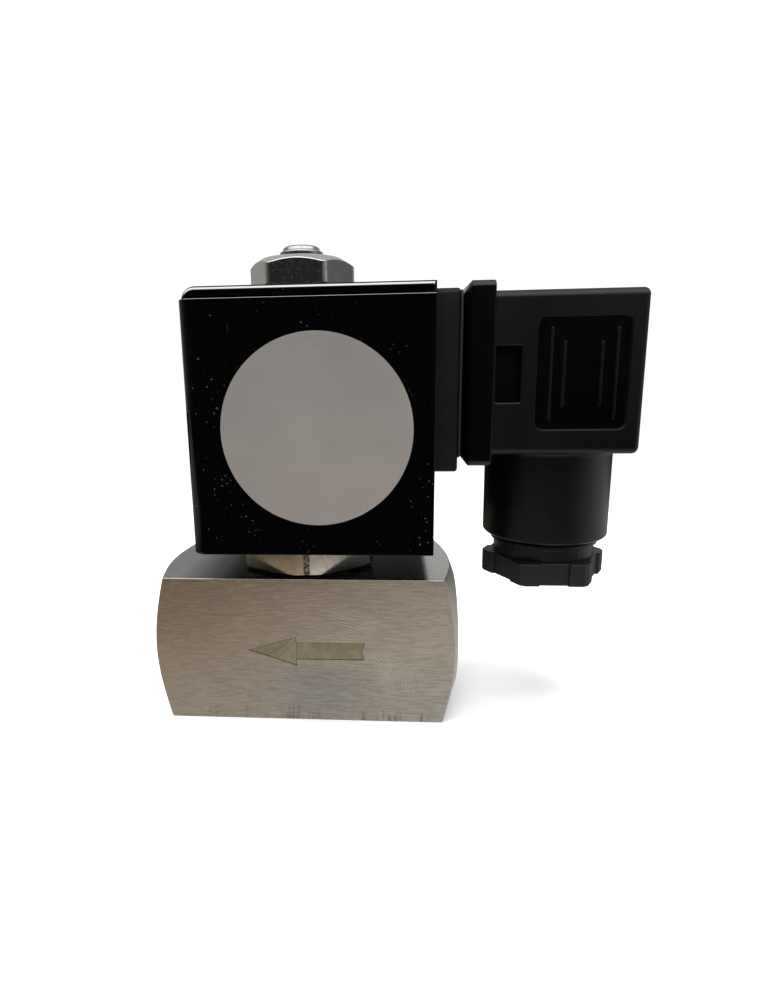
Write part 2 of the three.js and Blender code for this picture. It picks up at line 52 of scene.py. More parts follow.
BODY_HALF_HEIGHT = 13.15
BODY_HALF_DEPTH = 12.48
PLUG_Z = 46.6  # height of the plug's centre
SCREW_AXIS = (0, PLUG_Z)  # y and z of the plug's central screw
GLAND_X = 42.9
GLAND_AXIS = (GLAND_X, 0)  # x and y of the cable gland

# The three coil blades and the contacts they enter. upright: the blade stands in the XZ plane,
# otherwise it lies flat. inward: the way from the pin to the central screw, across the blade.
Pin = namedtuple("Pin", "key blade y z upright inward")
PIN_RADIUS = 9
PINS = [
    Pin("1", "terminal_blade_1", 0, PLUG_Z + PIN_RADIUS, False, -1),
    Pin("2", "terminal_blade_2", 0, PLUG_Z - PIN_RADIUS, False, 1),
    Pin("earth", "earth_blade", PIN_RADIUS, PLUG_Z, True, -1),
]


# ------------------------------------------------------------------ mesh tools
def new_object(verts, faces):
    mesh = bpy.data.meshes.new("part")
    mesh.from_pydata([tuple(v) for v in verts], [], faces)
    bm = bmesh.new()
    bm.from_mesh(mesh)
    bmesh.ops.remove_doubles(bm, verts=bm.verts, dist=1e-5)
    bmesh.ops.recalc_face_normals(bm, faces=bm.faces)
    if bm.calc_volume(signed=True) < 0:
        bmesh.ops.reverse_faces(bm, faces=bm.faces)
    bm.to_mesh(mesh)
    bm.free()
    ob = bpy.data.objects.new("part", mesh)
    bpy.context.collection.objects.link(ob)
    return ob


def bake(ob):
    """Replace the mesh by what the modifiers make of it."""
    depsgraph = bpy.context.evaluated_depsgraph_get()
    depsgraph.update()
    mesh = bpy.data.meshes.new_from_object(
        ob.evaluated_get(depsgraph), preserve_all_data_layers=True, depsgraph=depsgraph)
    ob.modifiers.clear()
    old = ob.data
    ob.data = mesh
    bpy.data.meshes.remove(old)


def boolean(ob, operation, tools):
    for tool in tools:
        modifier = ob.modifiers.new("cut", "BOOLEAN")
        modifier.operation = operation
        modifier.solver = "EXACT"
        modifier.object = tool
    bake(ob)
    for tool in tools:
        mesh = tool.data
        bpy.data.objects.remove(tool)
        bpy.data.meshes.remove(mesh)


def cut(ob, *tools):
    boolean(ob, "DIFFERENCE", tools)


def join(ob, tool):
    boolean(ob, "UNION", [tool])


def keep_inside(ob, tool):
    boolean(ob, "INTERSECT", [tool])


def bevel(ob, width, segments, angle):
    modifier = ob.modifiers.new("edge", "BEVEL")
    modifier.width = width
    modifier.segments = segments
    modifier.limit_method = "ANGLE"
    modifier.angle_limit = math.radians(angle)
    modifier.use_clamp_overlap = True
    modifier.profile = 0.5
    bake(ob)


def finish(ob, name, material, body, replaced, sharp=32):
    """Name the piece, move it to the row frame in metres, shade it smooth with edges over
    sharp degrees kept, and put it on its body."""
    ob.name = name
    mesh = ob.data
    lift = Matrix.Translation((0, 0, BODY_HALF_HEIGHT * MM))
    mesh.transform(lift @ Matrix.Scale(MM, 4))
    bm = bmesh.new()
    bm.from_mesh(mesh)
    bmesh.ops.remove_doubles(bm, verts=bm.verts, dist=2e-8)
    bmesh.ops.dissolve_degenerate(bm, dist=1e-8, edges=bm.edges)
    for face in bm.faces:
        face.smooth = True
    bm.to_mesh(mesh)
    bm.free()
    mesh.set_sharp_from_angle(angle=math.radians(sharp))
    mesh.materials.clear()
    mesh.materials.append(MAT[material])
    # flat faces keep their own normal where they meet a small rounded edge
    modifier = ob.modifiers.new("normals", "WEIGHTED_NORMAL")
    modifier.mode = "FACE_AREA"
    modifier.weight = 100
    modifier.keep_sharp = True
    bake(ob)
    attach(ob, body)
    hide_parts(replaced)


def paint(ob, material, chosen):
    """Add a material to a finished piece and give it to the faces for which
    chosen(centre, normal) holds. The centre is in millimetres, as built."""
    ob.data.materials.append(MAT[material])
    index = len(ob.data.materials) - 1
    for face in ob.data.polygons:
        centre = face.center / MM - Vector((0, 0, BODY_HALF_HEIGHT))
        if chosen(centre, face.normal):
            face.material_index = index


# ------------------------------------------------------------------ outlines
def arc_points(cx, cy, radius, start, end, n):
    return [(cx + radius * math.cos(start + (end - start) * i / n),
             cy + radius * math.sin(start + (end - start) * i / n)) for i in range(n + 1)]


def fillet(points, seg=4, closed=False):
    """A polyline of (x, y) or (x, y, corner radius) with its corners rounded."""
    out, n = [], len(points)
    for i, point in enumerate(points):
        radius = point[2] if len(point) > 2 else 0.0
        if radius <= 0 or (not closed and i in (0, n - 1)):
            out.append((point[0], point[1]))
            continue
        corner = Vector(point[:2])
        back = Vector(points[i - 1][:2]) - corner
        ahead = Vector(points[(i + 1) % n][:2]) - corner
        back_length, ahead_length = back.length, ahead.length
        back.normalize()
        ahead.normalize()
        angle = back.angle(ahead)
        if angle > PI - 0.03:  # as good as straight
            out.append((point[0], point[1]))
            continue
        reach = min(radius / math.tan(angle / 2), 0.49 * back_length, 0.49 * ahead_length)
        radius = reach * math.tan(angle / 2)
        centre = corner + (back + ahead).normalized() * (radius / math.sin(angle / 2))
        first, last = corner + back * reach - centre, corner + ahead * reach - centre
        start = math.atan2(first.y, first.x)
        sweep = (math.atan2(last.y, last.x) - start + PI) % TAU - PI
        for k in range(seg + 1):
            a = start + sweep * k / seg
            out.append((centre.x + radius * math.cos(a), centre.y + radius * math.sin(a)))
    return out


def rounded_rect(x0, x1, y0, y1, radius, seg):
    r = max(min(radius, (x1 - x0) / 2 - 1e-3, (y1 - y0) / 2 - 1e-3), 1e-3)
    return (arc_points(x1 - r, y0 + r, r, -PI / 2, 0, seg)
            + arc_points(x1 - r, y1 - r, r, 0, PI / 2, seg)
            + arc_points(x0 + r, y1 - r, r, PI / 2, PI, seg)
            + arc_points(x0 + r, y0 + r, r, PI, 1.5 * PI, seg))


def offset(points, distance):
    """A polygon moved outwards by distance (inwards if negative), corner by corner."""
    n = len(points)
    turn = sum(points[i][0] * points[(i + 1) % n][1] - points[(i + 1) % n][0] * points[i][1]
               for i in range(n))
    move = distance if turn > 0 else -distance
    out = []
    for i in range(n):
        a, b, c = Vector(points[i - 1]), Vector(points[i]), Vector(points[(i + 1) % n])
        u, v = (b - a).normalized(), (c - b).normalized()
        mitre = Vector((u.y, -u.x)) + Vector((v.y, -v.x))
        mitre = mitre / max(mitre.length_squared / 2, 0.35)
        out.append((b.x + mitre.x * move, b.y + mitre.y * move))
    return out


def channel(x0, x1, y0, y1, thickness, outer, tip=0.0, seg=12):
    """A C strip with two bends of radius outer on its low side, open on its high side."""
    inner = outer - thickness
    inset = thickness + inner
    points = [(x1, y0, tip), (x1, y0 + thickness, tip)]
    points += arc_points(x0 + inset, y0 + inset, inner, 1.5 * PI, PI, seg)
    points += arc_points(x0 + inset, y1 - thickness - inner, inner, PI, PI / 2, seg)
    points += [(x1, y1 - thickness, tip), (x1, y1, tip)]
    points += arc_points(x0 + outer, y1 - outer, outer, PI / 2, PI, seg)
    points += arc_points(x0 + outer, y0 + outer, outer, PI, 1.5 * PI, seg)
    return fillet(points, 3, True)


def rims(low, high, low_rim, high_rim, seg):
    """(inset, height) pairs from low to high, with the two rims rounded by their radii."""
    def rim(radius):
        if radius <= 0:
            return [(0, 0)]
        angles = [PI / 2 * i / seg for i in range(seg + 1)]
        return [(radius * (1 - math.sin(a)), radius * (1 - math.cos(a))) for a in angles]
    return ([(inset, low + h) for inset, h in rim(low_rim)]
            + [(inset, high - h) for inset, h in reversed(rim(high_rim))])


# ------------------------------------------------------------------ solids
def rows_mesh(rows, closed=False):
    """Rows of equally many points, each row a closed loop, joined by quads.
    closed joins the last row to the first; otherwise both ends are capped."""
    n, count = len(rows[0]), len(rows)
    faces = []
    for i in range(count if closed else count - 1):
        a, b = i * n, ((i + 1) % count) * n
        for j in range(n):
            k = (j + 1) % n
            faces.append((a + j, a + k, b + k, b + j))
    if not closed:
        faces.append(tuple(range(n))[::-1])
        faces.append(tuple((count - 1) * n + j for j in range(n)))
    return new_object([p for row in rows for p in row], faces)


def around(axis, at, radius, angle, h):
    """The point at radius and angle about an axis through at, and h along it."""
    a, b = at[0] + radius * math.cos(angle), at[1] + radius * math.sin(angle)
    return {"x": (h, a, b), "y": (a, h, b), "z": (a, b, h)}[axis]


def circle_rows(profile, axis="z", at=(0, 0), n=96):
    """A row for each (radius, height) of the profile."""
    return [[around(axis, at, r, TAU * j / n, h) for j in range(n)] for r, h in profile]


def lathe(profile, axis="z", at=(0, 0), n=96, closed=False):
    """A turned solid from (radius, height) pairs; closed makes a ring."""
    return rows_mesh(circle_rows(profile, axis, at, n), closed)


def ring(inner, outer, low, high, axis="z", at=(0, 0), n=96, edge=0.15):
    profile = [(inner, low, edge), (outer, low, edge), (outer, high, edge), (inner, high, edge)]
    return lathe(fillet(profile, 3, True), axis, at, n, True)


def cylinder(radius, low, high, axis="z", at=(0, 0), n=96):
    return lathe([(radius, low), (radius, high)], axis, at, n)


def thread_depth(turns, flat):
    """0 on a thread's flat and 1 on the opposite one; flat is each half flat's share."""
    return min(1.0, max(0.0, (abs(2 * (turns % 1.0) - 1) - flat) / (1 - 2 * flat)))


def thread_rows(span, pitch, root, crest, steps, fade, axis, at, n):
    """Rows of a screw thread, with steps rows to a turn, fading over fade pitches to the
    crest radius at both ends. An inner thread's crest is smaller than its root."""
    low, high = span
    rows, count = [], max(2, int(round((high - low) / pitch * steps)))
    for i in range(count + 1):
        h = low + (high - low) * i / count
        depth = min(1.0, abs(h - low) / (fade * pitch), abs(high - h) / (fade * pitch))
        row = []
        for j in range(n):
            full = root + (crest - root) * (1 - thread_depth(h / pitch - j / n, 0.12))
            row.append(around(axis, at, crest + (full - crest) * depth, TAU * j / n, h))
        rows.append(row)
    return rows


def threaded(before, thread, after, axis="z", at=(0, 0), n=96, closed=False):
    """A turned solid with a thread between two stretches of profile."""
    return rows_mesh(circle_rows(before, axis, at, n)
                     + thread_rows(**thread, axis=axis, at=at, n=n)
                     + circle_rows(after, axis, at, n), closed)


def on_plane(plane, point, h):
    """plane "z": (x, y) at height z. "x": (y, z) at x. "y": (x, z) at y."""
    a, b = point
    return {"x": (h, a, b), "y": (a, h, b), "z": (a, b, h)}[plane]


def inset_sweep(plane, rect, profile, radius, seg=8, shrink=1.0, side=1):
    """A rounded rectangle drawn in by each (inset, height) of the profile. Its corner radius
    loses shrink times the inset; side -1 mirrors the heights."""
    x0, x1, y0, y1 = rect
    rows = []
    for d, h in profile:
        loop = rounded_rect(x0 + d, x1 - d, y0 + d, y1 - d, radius - shrink * d, seg)
        rows.append([on_plane(plane, p, side * h) for p in loop])
    return rows_mesh(rows)


def rounded_box(plane, rect, low, high, radius, low_rim=0.0, high_rim=0.0, seg=8, rim_seg=4):
    return inset_sweep(plane, rect, rims(low, high, low_rim, high_rim, rim_seg), radius, seg)


def prism(plane, points, low, high):
    return rows_mesh([[on_plane(plane, p, h) for p in points] for h in (low, high)])


def box(x0, x1, y0, y1, z0, z1):
    return prism("z", [(x0, y0), (x1, y0), (x1, y1), (x0, y1)], z0, z1)


def pin_box(pin, x0, x1, low, high, half_width):
    """A box about a pin: low to high across its blade, half_width to each side along it."""
    y, z = pin.y, pin.z
    if pin.upright:
        return box(x0, x1, y + low, y + high, z - half_width, z + half_width)
    return box(x0, x1, y - half_width, y + half_width, z + low, z + high)


def hexagon(across_flats, turn, low, high, top, bottom, side_seg, corner):
    """A hexagon whose upright corners have radius corner. top and bottom are
    (radius where the chamfer starts, slope); turn is in degrees."""
    apothem = across_flats / 2
    turn = math.radians(turn)
    # even steps along each flat, corner to corner
    angles = [turn + s * PI / 3 + PI / 6 + math.atan((-1 + 2 * i / side_seg) * math.tan(PI / 6))
              for s in range(6) for i in range(side_seg)]

    def radius_at(angle):
        d = abs(((angle - turn) % (PI / 3)) - PI / 6)
        if apothem * math.tan(d) <= (apothem - corner) * math.tan(PI / 6):
            return apothem / math.cos(d)
        centre = (apothem - corner) / math.cos(PI / 6)
        e = PI / 6 - d
        depth = max(corner * corner - (centre * math.sin(e)) ** 2, 0.0)
        return centre * math.cos(e) + math.sqrt(depth)

    radii = [radius_at(a) for a in angles]

    def row(limit, height):
        return [(min(r, limit) * math.cos(a), min(r, limit) * math.sin(a), height(r))
                for a, r in zip(angles, radii)]

    return rows_mesh([
        row(bottom[0], lambda r: low),
        row(math.inf, lambda r: low + max(r - bottom[0], 0) * bottom[1]),
        row(math.inf, lambda r: high - max(r - top[0], 0) * top[1]),
        row(top[0], lambda r: high),
    ])


# ------------------------------------------------------------------ shader tools
class Value:
    """A node's output that can be reckoned with like a number."""

    def __init__(self, nodes, socket):
        self.nodes = nodes
        self.socket = socket

    def __add__(self, other):
        return self.nodes.math("ADD", self, other)

    def __sub__(self, other):
        return self.nodes.math("SUBTRACT", self, other)

    def __mul__(self, other):
        return self.nodes.math("MULTIPLY", self, other)

    def __abs__(self):
        return self.nodes.math("ABSOLUTE", self)

    def over(self, start, end, to=(0, 1)):
        """Map the range from start to end onto the range to, clamped."""
        return self.nodes.node("MapRange", {
            "Value": self, "From Min": start, "From Max": end, "To Min": to[0], "To Max": to[1],
        }, "Result")

    def cover(self, mask, colour):
        """Lay a colour over this one where the mask is 1."""
        return self.nodes.mix(mask, self, colour)


class Nodes:
    """A node tree and short ways of adding to it. Texture scales are per metre."""

    def __init__(self, tree):
        self.tree = tree

    @cached_property
    def coord(self):
        return self.node("TexCoord", {}, "Object")

    def feed(self, socket, value):
        if isinstance(value, Value):
            self.tree.links.new(value.socket, socket)
        elif isinstance(value, tuple) and socket.type == "RGBA":
            socket.default_value = (*value, 1)
        else:
            socket.default_value = value

    def node(self, kind, inputs, *outputs, **settings):
        """Add a node and return the outputs asked for, or the first one."""
        node = self.tree.nodes.new("ShaderNode" + kind)
        for name, value in settings.items():
            setattr(node, name, value)
        for key, value in inputs.items():
            self.feed(node.inputs[key], value)
        values = [Value(self, node.outputs[key]) for key in outputs or (0,)]
        return values[0] if len(values) == 1 else values

    def math(self, operation, *values, clamp=False):
        return self.node("Math", dict(enumerate(values)), operation=operation, use_clamp=clamp)

    def distance(self, a, b):
        return self.math("SQRT", a * a + b * b)

    def split(self, vector):
        return self.node("SeparateXYZ", {0: vector}, 0, 1, 2)

    def geometry(self, output):
        return self.node("NewGeometry", {}, output)

    def mapping(self, scale=1, turn=(0, 0, 0), shift=(0, 0, 0)):
        if not isinstance(scale, tuple):
            scale = (scale,) * 3
        return self.node("Mapping", {
            "Scale": scale, "Rotation": turn, "Location": shift, "Vector": self.coord}, "Vector")

    def noise(self, scale, detail=3, rough=0.5, distortion=0.0, **mapping):
        return self.node("TexNoise", {
            "Scale": 1.0, "Detail": detail, "Roughness": rough, "Distortion": distortion,
            "Vector": self.mapping(scale, **mapping)}, "Fac")

    def voronoi(self, feature, scale, **mapping):
        vector = self.mapping(scale, **mapping)
        return self.node(
            "TexVoronoi", {"Scale": 1.0, "Vector": vector}, "Distance", feature=feature)

    def wave(self, kind, direction, vector, **inputs):
        """kind is RINGS or BANDS, about or along the direction's axis."""
        inputs = {key.replace("_", " "): value for key, value in inputs.items()}
        settings = {"wave_type": kind, kind.lower() + "_direction": direction}
        return self.node("TexWave", {**inputs, "Vector": vector}, "Fac", **settings)

    def mix(self, factor, a, b):
        return self.node("Mix", {0: factor, 6: a, 7: b}, 2, data_type="RGBA")

    def mix_shader(self, factor, a, b):
        return self.node("MixShader", {0: factor, 1: a, 2: b})

    def ramp(self, factor, stops):
        """A colour ramp of (position, colour) stops, the first at 0 and the last at 1."""
        value = self.node("ValToRGB", {"Fac": factor}, "Color")
        elements = value.socket.node.color_ramp.elements
        elements[0].color = (*stops[0][1], 1)
        elements[1].color = (*stops[-1][1], 1)
        for position, colour in stops[1:-1]:
            elements.new(position).color = (*colour, 1)
        return value

    def bump(self, height, strength, distance):
        return self.node("Bump", {
            "Strength": strength, "Distance": distance, "Height": height}, "Normal")


class Material(Nodes):
    def __init__(self, name):
        self.material = bpy.data.materials.new(name)
        self.material.use_nodes = True
        super().__init__(self.material.node_tree)
        self.principled = self.tree.nodes["Principled BSDF"]

    def shade(self, **inputs):
        """Set the Principled inputs (underscores stand for spaces); returns the material."""
        for key, value in inputs.items():
            self.feed(self.principled.inputs[key.replace("_", " ")], value)
        return self.material


def srgb(r, g, b):
    """sRGB 0-255 to linear."""
    def linear(c):
        return c / 255 / 12.92 if c / 255 <= 0.04045 else ((c / 255 + 0.055) / 1.055) ** 2.4
    return (linear(r), linear(g), linear(b))


def scaled(colour, factor):
    return tuple(c * factor for c in colour)


FADE = (1, 0)  # for over(): full at the start, nothing at the end


# ------------------------------------------------------------------ materials
def steel_body():
    """Bar stainless: linished along X on the sides, milled in arcs on top, turned on the end
    faces, with darker smudges."""
    m = Material("stainless_linished")
    normal_x, normal_y, normal_z = m.split(m.geometry("True Normal"))
    end = abs(normal_x).over(0.5, 0.8)
    top = abs(normal_z).over(0.6, 0.9)
    side = abs(normal_y).over(0.6, 0.9)
    x, _, z = m.split(m.coord)

    # brush lines along X, fine over coarse
    brush = (m.noise((900, 9000, 9000), detail=3, rough=0.7) * 0.5
             + m.noise((300, 6500, 6500), detail=4, rough=0.7) * 0.5)

    # chatter: short arcs left by the belt, in a band up and to the right of their centre
    centre_x, centre_z = 0.0047, 0.00495
    arcs = m.wave("RINGS", "Y", m.mapping(shift=(-centre_x, 0, -centre_z)),
                  Scale=600, Distortion=5.0, Detail=2, Detail_Scale=0.9)
    dx = x - centre_x
    dz = z - centre_z
    distance = m.distance(dx, dz)
    band = distance.over(0.0088, 0.0105) * distance.over(0.0145, 0.0175, to=FADE)
    sector = dz.over(-0.003, 0.002) * dx.over(-0.003, 0.0015)
    loose = m.noise(230, detail=2, shift=(0.4, 0, 0.2)).over(0.40, 0.60, to=(0.1, 1))
    chatter = arcs * (band * sector * loose) * side

    # arcs of a milling cutter on top and below, rings on the turned ends
    milled = m.wave("RINGS", "Z", m.mapping(shift=(-0.012, 0.03, 0)),
                    Scale=620, Distortion=1.5, Detail=3)
    turned = m.wave("RINGS", "X", m.mapping(shift=(0, 0, -BODY_HALF_HEIGHT * MM)),
                    Scale=900, Distortion=0.6, Detail=2)
    height = m.mix(top, brush, m.mix(0.35, brush, milled))
    height = height.cover(end, m.mix(0.8, brush, turned))
    height = height + chatter * 0.65

    # tone, a painted reflection: warm to the upper left, greyer to the right and low down
    smudge = m.noise((45, 45, 80), detail=5, rough=0.6, distortion=0.6)
    right = x.over(-0.016, 0.024)
    down = z.over(0.021, 0.002)
    tone = m.mix(right, (0.445, 0.345, 0.262), (0.60, 0.55, 0.48))
    tone = tone.cover(down * 0.85, m.mix(right, (0.49, 0.455, 0.395), (0.53, 0.52, 0.49)))
    # a cool patch below the arrow
    cool = (abs(x - 0.003).over(0.003, 0.011, to=FADE)
            * abs(z - 0.0055).over(0.003, 0.0062, to=FADE))
    tone = tone.cover(cool * side * 0.75, (0.36, 0.365, 0.37))
    # soft clouds, then the dark and the light of the brush lines
    tone = tone.cover(smudge.over(0.38, 0.68, to=(0, 0.42)), (0.36, 0.32, 0.275))
    tone = tone.cover(brush.over(0.40, 0.495, to=(0.36, 0)), (0.22, 0.185, 0.15))
    tone = tone.cover(brush.over(0.52, 0.64, to=(0, 0.32)), (0.76, 0.72, 0.66))
    # coarser scratches, stronger to the right
    marks = m.noise((330, 4300, 4300), detail=2, rough=0.6, shift=(0.2, 0, 0.7))
    strong = x.over(-0.020, 0.012, to=(0.45, 1)) * side
    tone = tone.cover(marks.over(0.38, 0.49, to=(0.21, 0)) * strong, (0.22, 0.19, 0.155))
    tone = tone.cover(marks.over(0.52, 0.63, to=(0, 0.19)) * strong, (0.78, 0.74, 0.68))
    tone = tone.cover(arcs.over(0.2, 0.9) * (chatter * 0.42), (0.80, 0.77, 0.71))
    # short dark strokes rising from the bottom edge, in clumps
    low = (z + smudge.over(0.3, 0.7, to=(-0.0012, 0.0012))).over(0.0004, 0.0030, to=FADE)
    stroke = m.noise((1900, 1900, 190), detail=4, rough=0.7,
                     turn=(0, 0.12, 0), shift=(1.3, 0, 0)).over(0.46, 0.58)
    clump = (m.noise((170, 170, 20), detail=3, rough=0.6, shift=(3.1, 0, 0)).over(0.47, 0.60)
             * x.over(-0.012, 0.0, to=(0.25, 1)))
    tone = tone.cover(low * side * (stroke * clump) * 0.85, (0.085, 0.08, 0.07))

    # the milled faces are neutral, with painted shade where the coil stands over them
    coil_edge = (0.0207, 0.0217)

    def milled_tone(inside, outside):
        return m.mix(x.over(*coil_edge), inside, outside)

    neutral = m.mix(smudge.over(0.35, 0.7, to=(0, 0.5)),
                    milled_tone((0.46, 0.46, 0.45), (0.64, 0.64, 0.62)),
                    milled_tone((0.32, 0.315, 0.305), (0.5, 0.5, 0.48)))
    tone = tone.cover(top * 0.85, neutral)
    # painted shade on the upper face under the coil, fading in from the coil's left side
    from_left = x.over(-0.0215, -0.0160, to=(0, 0.74)) + x.over(-0.0160, -0.0100, to=(0, 0.26))
    painted_coil_shade = from_left * x.over(*coil_edge, to=FADE) * normal_z.over(0.6, 0.9)
    tone = tone.cover(painted_coil_shade * 0.86, (0.045, 0.045, 0.043))
    tone = tone.cover(end * 0.7, (0.58, 0.575, 0.56))

    rough = brush.over(0.3, 0.7, to=(0.36, 0.46)) + smudge * 0.06
    rough = m.mix(top, rough, brush.over(0.3, 0.7, to=(0.20, 0.32)))
    # painted shade: the top face's specular tint is darker under the coil
    edge_tint = m.mix(top * x.over(*coil_edge, to=FADE), (1.0, 1.0, 1.0), (0.76, 0.76, 0.76))
    edge_tint = edge_tint.cover(painted_coil_shade, (0.40, 0.40, 0.40))
    return m.shade(Base_Color=tone, Metallic=1.0, Roughness=rough, Specular_Tint=edge_tint,
                   Normal=m.bump(height, strength=0.5, distance=0.00007))


def etched(name, light=1.0):
    m = Material(name)
    grain = m.noise(900, detail=4, rough=0.7)
    clouds = m.noise(240, detail=3, rough=0.6, shift=(2, 2, 0))
    tone = m.mix(grain.over(0.3, 0.7),
                 scaled((0.27, 0.245, 0.155), light), scaled((0.41, 0.375, 0.262), light))
    tone = tone.cover(clouds.over(0.42, 0.6, to=(0, 0.45)), scaled((0.21, 0.185, 0.12), light))
    return m.shade(Base_Color=tone, Metallic=0.85, Roughness=0.5,
                   Normal=m.bump(grain, strength=0.35, distance=0.00003))


def bright_metal(name, tint, rough, pits, worn_radius=None):
    """Nickel plate: bright, with soft waviness and small pits. Beyond worn_radius (m) from
    the Z axis it is worn and pitted."""
    m = Material(name)
    wavy = m.noise(220, detail=2)
    grain = m.noise((1500, 1500, 4200), detail=4, rough=0.7)
    pit = m.noise(1300, detail=3, rough=0.6, shift=(3, 1, 2)).over(0.62, 0.74)
    stain = m.noise((160, 160, 260), detail=4, rough=0.65, shift=(0.3, 0.1, 0)).over(0.5, 0.75)
    speckle = m.noise((3600, 3600, 2400), detail=3, rough=0.7, shift=(1, 5, 2))
    tone = m.mix(pit * pits, tint, (0.18, 0.15, 0.12))
    tone = tone.cover(stain * 0.35, (0.55, 0.45, 0.33))
    tone = tone.cover(speckle.over(0.36, 0.56, to=(0.34, 0)), scaled(tint, 0.42))
    roughness = grain.over(0.3, 0.7, to=(rough * 0.7, rough * 1.7)) + pit * (0.3 * pits)
    height = wavy * 1.0 + (grain * 0.05 + pit * (-0.2 * pits))
    if worn_radius:
        x, y, _ = m.split(m.coord)
        distance = m.distance(x, y)
        # painted highlight: paler towards the front right
        front_right = x.over(-0.0015, 0.0015) * y.over(-0.002, 0.002, to=FADE)
        tone = tone.cover(front_right * 0.7, (0.74, 0.72, 0.70))
        worn = distance.over(worn_radius, worn_radius + 0.0001)
        rust = m.noise((2300, 2300, 1800), detail=3, rough=0.7, shift=(5, 2, 0))
        tone = tone.cover(worn * rust.over(0.44, 0.56, to=(0.35, 1)), (0.065, 0.05, 0.035))
        roughness = roughness + worn * 0.25
    return m.shade(Base_Color=tone, Metallic=1.0, Roughness=roughness,
                   Normal=m.bump(height, strength=0.35, distance=0.0001))


def turned_metal(name, tint, rough, lines):
    """Metal with tool lines; lines is the noise scale along each axis."""
    m = Material(name)
    grain = m.noise(lines, detail=3, rough=0.6)
    clouds = m.noise(150, detail=3, rough=0.6)
    tone = m.mix(clouds.over(0.35, 0.7, to=(0, 0.4)), tint, scaled(tint, 0.7))
    return m.shade(Base_Color=tone, Metallic=1.0,
                   Roughness=grain.over(0.3, 0.7, to=(rough * 0.75, rough * 1.4)),
                   Normal=m.bump(grain, strength=0.25, distance=0.00004))


def gloss_black():
    """Black stoving enamel: nearly flat mirror, slight orange peel, dust specks; on the rounded
    edges a painted highlight band with a painted dark line above it."""
    m = Material("gloss_black_enamel")
    peel = m.noise(210, detail=2)

    def specks(scale, radius, shift):
        spots = m.math("LESS_THAN", m.voronoi("F1", scale, shift=shift), radius)
        return spots * m.noise(110, detail=2, shift=shift).over(0.50, 0.62)

    dust = m.math("ADD", specks(620, radius=0.075, shift=(0, 0, 0)),
                  specks((1300, 1300, 1100), radius=0.12, shift=(3, 1, 5)), clamp=True)
    # faint short rubs, here and there
    rubs = m.noise((1500, 1500, 160), detail=3, rough=0.6, turn=(0, 0.6, 0.1))
    where = m.noise(95, detail=2, shift=(7, 3, 4)).over(0.62, 0.72)
    rubs = rubs.over(0.63, 0.72, to=(0, 0.5)) * where
    film = m.noise(70, detail=5, rough=0.65, shift=(1, 1, 6))

    _, normal_y, up = m.split(m.geometry("Normal"))
    front = normal_y.over(-0.8, -0.2, to=(0.36, 0.16))
    tone = m.mix(m.math("MAXIMUM", dust, rubs) * front,
                 (0.0006, 0.0006, 0.0008), (0.20, 0.195, 0.18))
    rough = film.over(0.3, 0.75, to=(0.05, 0.12)) + dust * 0.4
    # on the rounded edges, by the height of the normal: a painted dark line near the top (less
    # specular, no coat) and a painted highlight band lower down (a strong coat)
    painted_dark_line = up.over(0.66, 0.74) * up.over(0.990, 0.997, to=FADE)
    painted_highlight_band = up.over(0.20, 0.30) * up.over(0.62, 0.70, to=FADE)
    return m.shade(Base_Color=tone, Roughness=rough, IOR=1.42,
                   Specular_IOR_Level=painted_dark_line.over(0, 1, to=(0.5, 0.02)),
                   Coat_Weight=painted_highlight_band.over(0, 1, to=(0.1, 1.0)) * painted_dark_line.over(0, 1, to=FADE),
                   Coat_IOR=painted_highlight_band.over(0, 1, to=(1.4, 4.0)), Coat_Roughness=0.04,
                   Normal=m.bump(peel, strength=0.10, distance=0.00008))


def label_grey():
    m = Material("label_matt_grey")
    mottle = m.noise(300, detail=5, rough=0.6)
    clouds = m.noise(60, detail=2, shift=(4, 2, 1))
    fibre = m.noise(2500, detail=3, rough=0.6)
    _, _, z = m.split(m.coord)
    # painted light: lighter and warmer towards the bottom
    tone = m.mix(z.over(0.038, 0.066, to=FADE), srgb(114, 112, 107), srgb(124, 116, 110))
    tone = tone.cover(clouds.over(0.4, 0.65, to=(0, 0.35)), srgb(104, 101, 96))
    tone = tone.cover(mottle.over(0.35, 0.7, to=(0, 0.22)), srgb(128, 124, 118))
    return m.shade(Base_Color=tone, Metallic=0.0,
                   Roughness=mottle.over(0.3, 0.7, to=(0.42, 0.6)), Specular_IOR_Level=0.35,
                   Normal=m.bump(fibre, strength=0.12, distance=0.00003))


def moulded(name, tone, rough, grain, bump, distance=0.00005, flow_tone=None, specular=0.5):
    """Moulded plastic: fine spark-eroded grain, slight flow marks and handling shine."""
    m = Material(name)
    erosion = m.noise(grain, detail=5, rough=0.7)
    cells = m.voronoi("SMOOTH_F1", grain * 2.2)
    flow = m.noise((55, 90, 35), detail=4, rough=0.6, distortion=0.8, shift=(1, 4, 2))
    colour = m.mix(flow.over(0.35, 0.7, to=(0, 0.8)), tone, flow_tone or scaled(tone, 1.35))
    roughness = flow.over(0.3, 0.7, to=(rough * 0.88, rough * 1.1)) + (erosion - 0.5) * 0.10
    return m.shade(Base_Color=colour, Roughness=roughness, Specular_IOR_Level=specular,
                   Normal=m.bump(erosion * 0.6 + cells * 0.4, bump, distance))


def rubber(name, tone):
    m = Material(name)
    grain = m.noise(1400, detail=4, rough=0.7)
    dust = m.noise(130, detail=4, rough=0.6)
    dusty = tuple(min(1, c * 2.6 + 0.01) for c in tone)
    return m.shade(Base_Color=m.mix(dust.over(0.4, 0.75, to=(0, 0.5)), tone, dusty),
                   Roughness=dust.over(0.3, 0.7, to=(0.62, 0.85)), Specular_IOR_Level=0.35,
                   Normal=m.bump(grain, strength=0.3, distance=0.00005))


